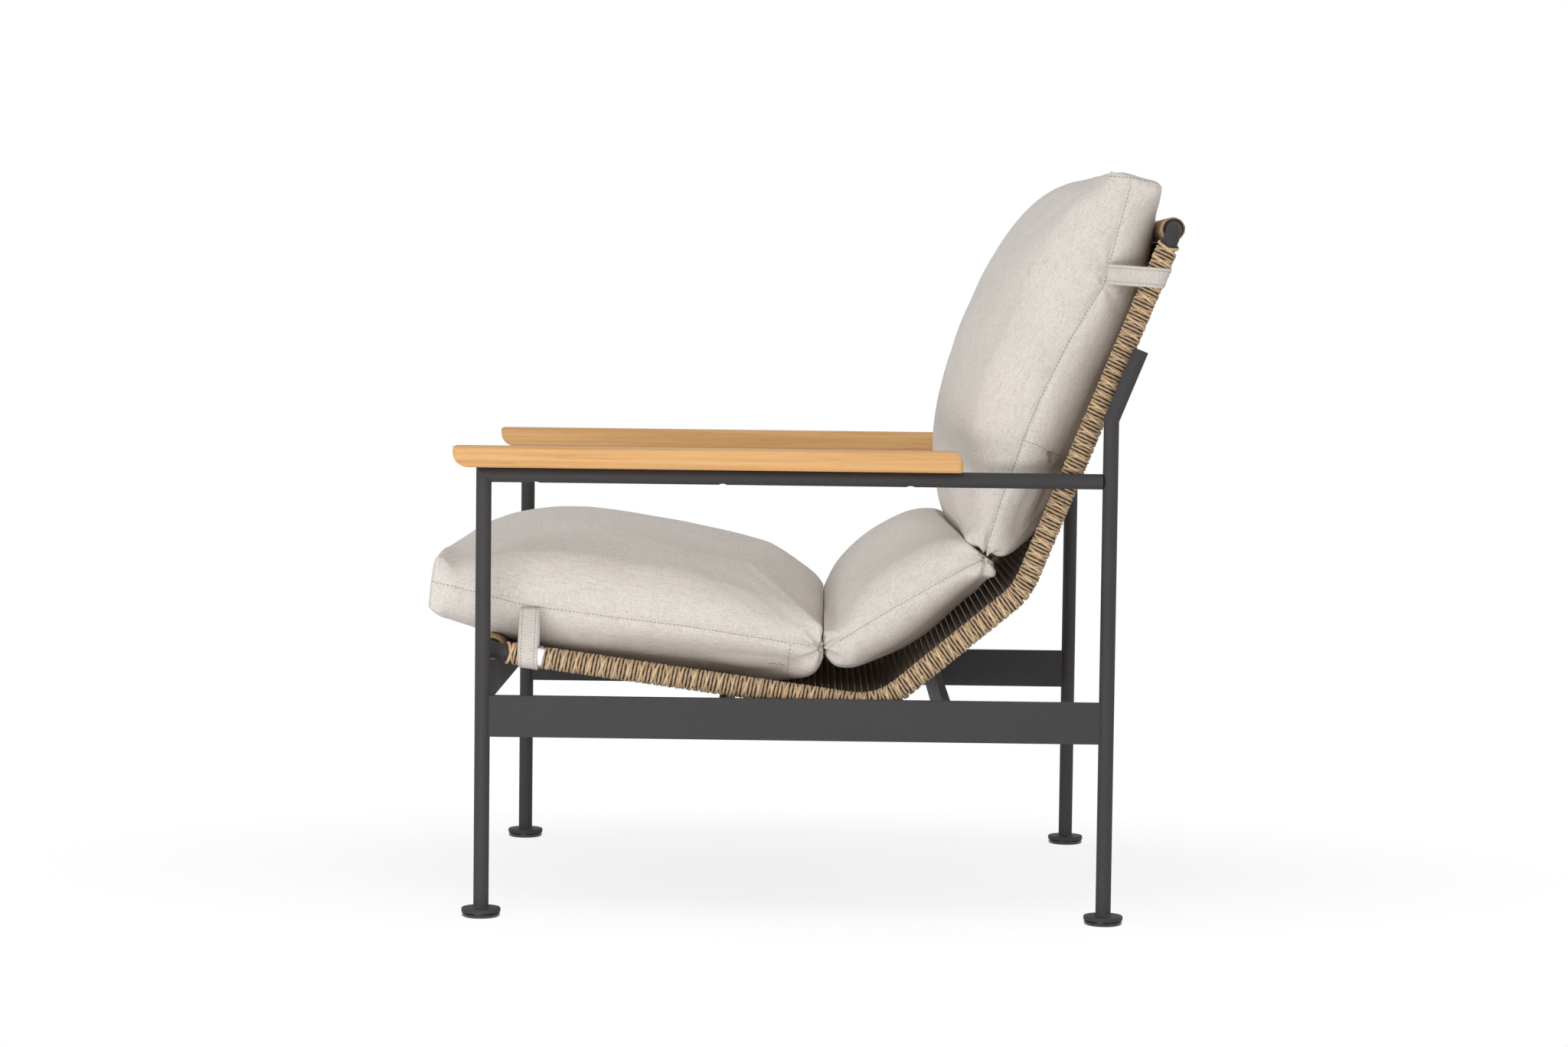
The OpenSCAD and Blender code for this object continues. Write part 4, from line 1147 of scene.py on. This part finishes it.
class CHAIR_OT_straps(bpy.types.Operator):
    """Straps that hold the cushion to the side rails, with their lining and stitches"""
    bl_idname = "chair.straps"
    bl_label = "Straps"

    def execute(self, context):
        sling, s = Sling(), setting("strap")
        cloth = linen_weave("strap_weave", factor=0.9)
        lining = plain("strap_lining", tint("lining"), 0.6)
        thread = plain("strap_thread", tint("seam_thread"), 0.8)
        for kind, run, along, tilt in (("seat", 0, s.seat_back, setting("sling").seat_fall),
                                       ("back", 2, sling.back_run - s.back_down, s.tilt)):
            for side, sign in SIDES.items():
                columns = strap_columns(sling, run, along, tilt, sign)
                node = f"{kind}_strap_{side}"
                band = strap_mesh(node, columns, cloth, lining, s.thickness, 0.0003)
                settle(band, f"{kind}_webbing_strap_{side}", "strap_webbing", node)
                if kind == "seat":
                    settle(self.flap(sling, sign, lining), "seat_strap_flap_" + side, "strap_webbing")
                rows = [[p + n * (s.thickness / 2 + 0.0004) for p, n in columns[v]] for v in (2, -3)]
                sew(rows, thread, s.stitch, f"{kind}_strap_stitches_{side}", "strap_webbing")
        return {"FINISHED"}

    def flap(self, sling, side, lining):
        """End of the lining that looks out behind a seat strap."""
        s = setting("strap")
        reach = TUBE + setting("sling").side_rope + 0.0007
        columns = []
        for u in np.linspace(0.0, 1.0, 6):
            column = []
            for v in np.linspace(-1.0, 1.0, 12):
                turn = v * 0.95
                along = s.seat_back + s.width / 2 - 0.002 + u * (0.0085 + 0.0028 * v) - 0.0016 * v
                out = RAIL_X + reach * math.cos(turn) + 0.0012 * u
                spot = sling.world(0, (along, reach * math.sin(turn) * 0.95 + 0.001), side * out)
                column.append((np.array(spot), np.array((side * math.cos(turn), 0.0, math.sin(turn)))))
            columns.append(column)
        return strap_mesh("flap", columns, lining, lining, 0.0007, 0.0)


# ---------- stage ----------
class CHAIR_OT_stage(bpy.types.Operator):
    """Camera, floor and soft studio light"""
    bl_idname = "chair.stage"
    bl_label = "Stage"

    def execute(self, context):
        s, scene = setting("stage"), bpy.context.scene
        legs_mid = (LEG_FRONT.y + LEG_REAR.y) / 2
        # Columns: right, up, back and place
        columns = ((-0.00934, 0.99988, 0.01197, 0), (-0.05913, -0.01250, 0.99817, 0),
                   (0.99821, 0.00861, 0.05924, 0), (4.5397, 0.0219 + legs_mid, 0.7160, 1))
        data = bpy.data.cameras.new("camera")
        data.lens, data.sensor_width = 83.142, 36.0
        data.clip_start, data.clip_end = 0.1, 100
        scene.camera = new_object("camera", data)
        scene.camera.matrix_world = Matrix(columns).transposed()

        self.floor(s.white_radius)
        world = bpy.data.worlds.new("studio")
        scene.world = world
        world.use_nodes = True
        w = Nodes(world.node_tree)
        surface = w.node("ShaderNodeOutputWorld").inputs["Surface"]
        soft, plain_white = [w.add("ShaderNodeBackground", WHITE, level) for level in (s.ambient, 1.0)]
        w.put(surface, w.add("ShaderNodeMixShader", w.seen(), soft, plain_white))

        aim = Vector((0, 0, 0.45))
        for name, place, size, power in (
                ("key_light", (2.1, -0.75, 0.2), (2.0, 0.36), s.key),
                ("rear_light", (1.9, 2.0, 0.25), (1.4, 0.45), s.rear),
                ("top_light", (1.6, -0.6, 3.0), (2.6, 2.6), s.top)):
            light = bpy.data.lights.new(name, "AREA")
            light.shape, light.energy = "RECTANGLE", power
            light.size, light.size_y = size
            lamp = new_object(name, light)
            lamp.location = place
            lamp.rotation_mode = "QUATERNION"
            lamp.rotation_quaternion = (Vector(place) - aim).to_track_quat("Z", "Y")
        scene.view_settings.view_transform = "Standard"
        return {"FINISHED"}

    def floor(self, white_radius):
        """Floor that takes the chair's soft shadow and turns white around it."""
        f = Finish("studio_floor", 0.9, Specular_IOR_Level=0.0)
        f.feed(Base_Color=(0.95, 0.95, 0.95, 1))
        glow = f.add("ShaderNodeEmission", WHITE, 1.0)
        place = f.add("ShaderNodeMapping", Vector=f.coords, Location=(0.16, 0.0, 0.0), Scale=(1.75, 1.0, 1.0))
        away = f.add("ShaderNodeVectorMath", place, out="Value", operation="LENGTH")
        share = f.times(f.seen(), f.ramp(away, 0.5, white_radius, 0.82, 1.0))
        f.put(f.out.inputs["Surface"], f.add("ShaderNodeMixShader", share, f.shader.outputs[0], glow))
        corners = [(-30, -30, 0), (30, -30, 0), (30, 30, 0), (-30, 30, 0)]
        floor = mesh_object("floor", corners, [[0, 1, 2, 3]], f.mat)


class CHAIR_PT_panel(bpy.types.Panel):
    """Armchair tools in the 3D view's sidebar"""
    bl_idname = "CHAIR_PT_panel"
    bl_label = "Armchair"
    bl_space_type = "VIEW_3D"
    bl_region_type = "UI"
    bl_category = "Armchair"

    def draw(self, context):
        for key in SETTINGS:
            group = getattr(context.scene, key)
            box = self.layout.box()
            for name in group.bl_rna.properties.keys():
                if name not in ("rna_type", "name"):
                    box.prop(group, name)
        for op in OPERATORS:
            self.layout.operator(op.bl_idname)


OPERATORS = [CHAIR_OT_frame, CHAIR_OT_armrests, CHAIR_OT_fixings, CHAIR_OT_rope_wraps, CHAIR_OT_webbing,
             CHAIR_OT_cushion, CHAIR_OT_stitching, CHAIR_OT_straps, CHAIR_OT_stage]
CLASSES = list(SETTINGS.values()) + OPERATORS + [CHAIR_PT_panel]


def register():
    for c in CLASSES:
        bpy.utils.register_class(c)
    for key, group in SETTINGS.items():
        setattr(bpy.types.Scene, key, PointerProperty(type=group))


def unregister():
    for key in SETTINGS:
        delattr(bpy.types.Scene, key)
    for c in reversed(CLASSES):
        bpy.utils.unregister_class(c)


def main():
    register()
    for op in OPERATORS:
        getattr(bpy.ops.chair, op.bl_idname.split(".")[1])()


if __name__ == "__main__":
    main()
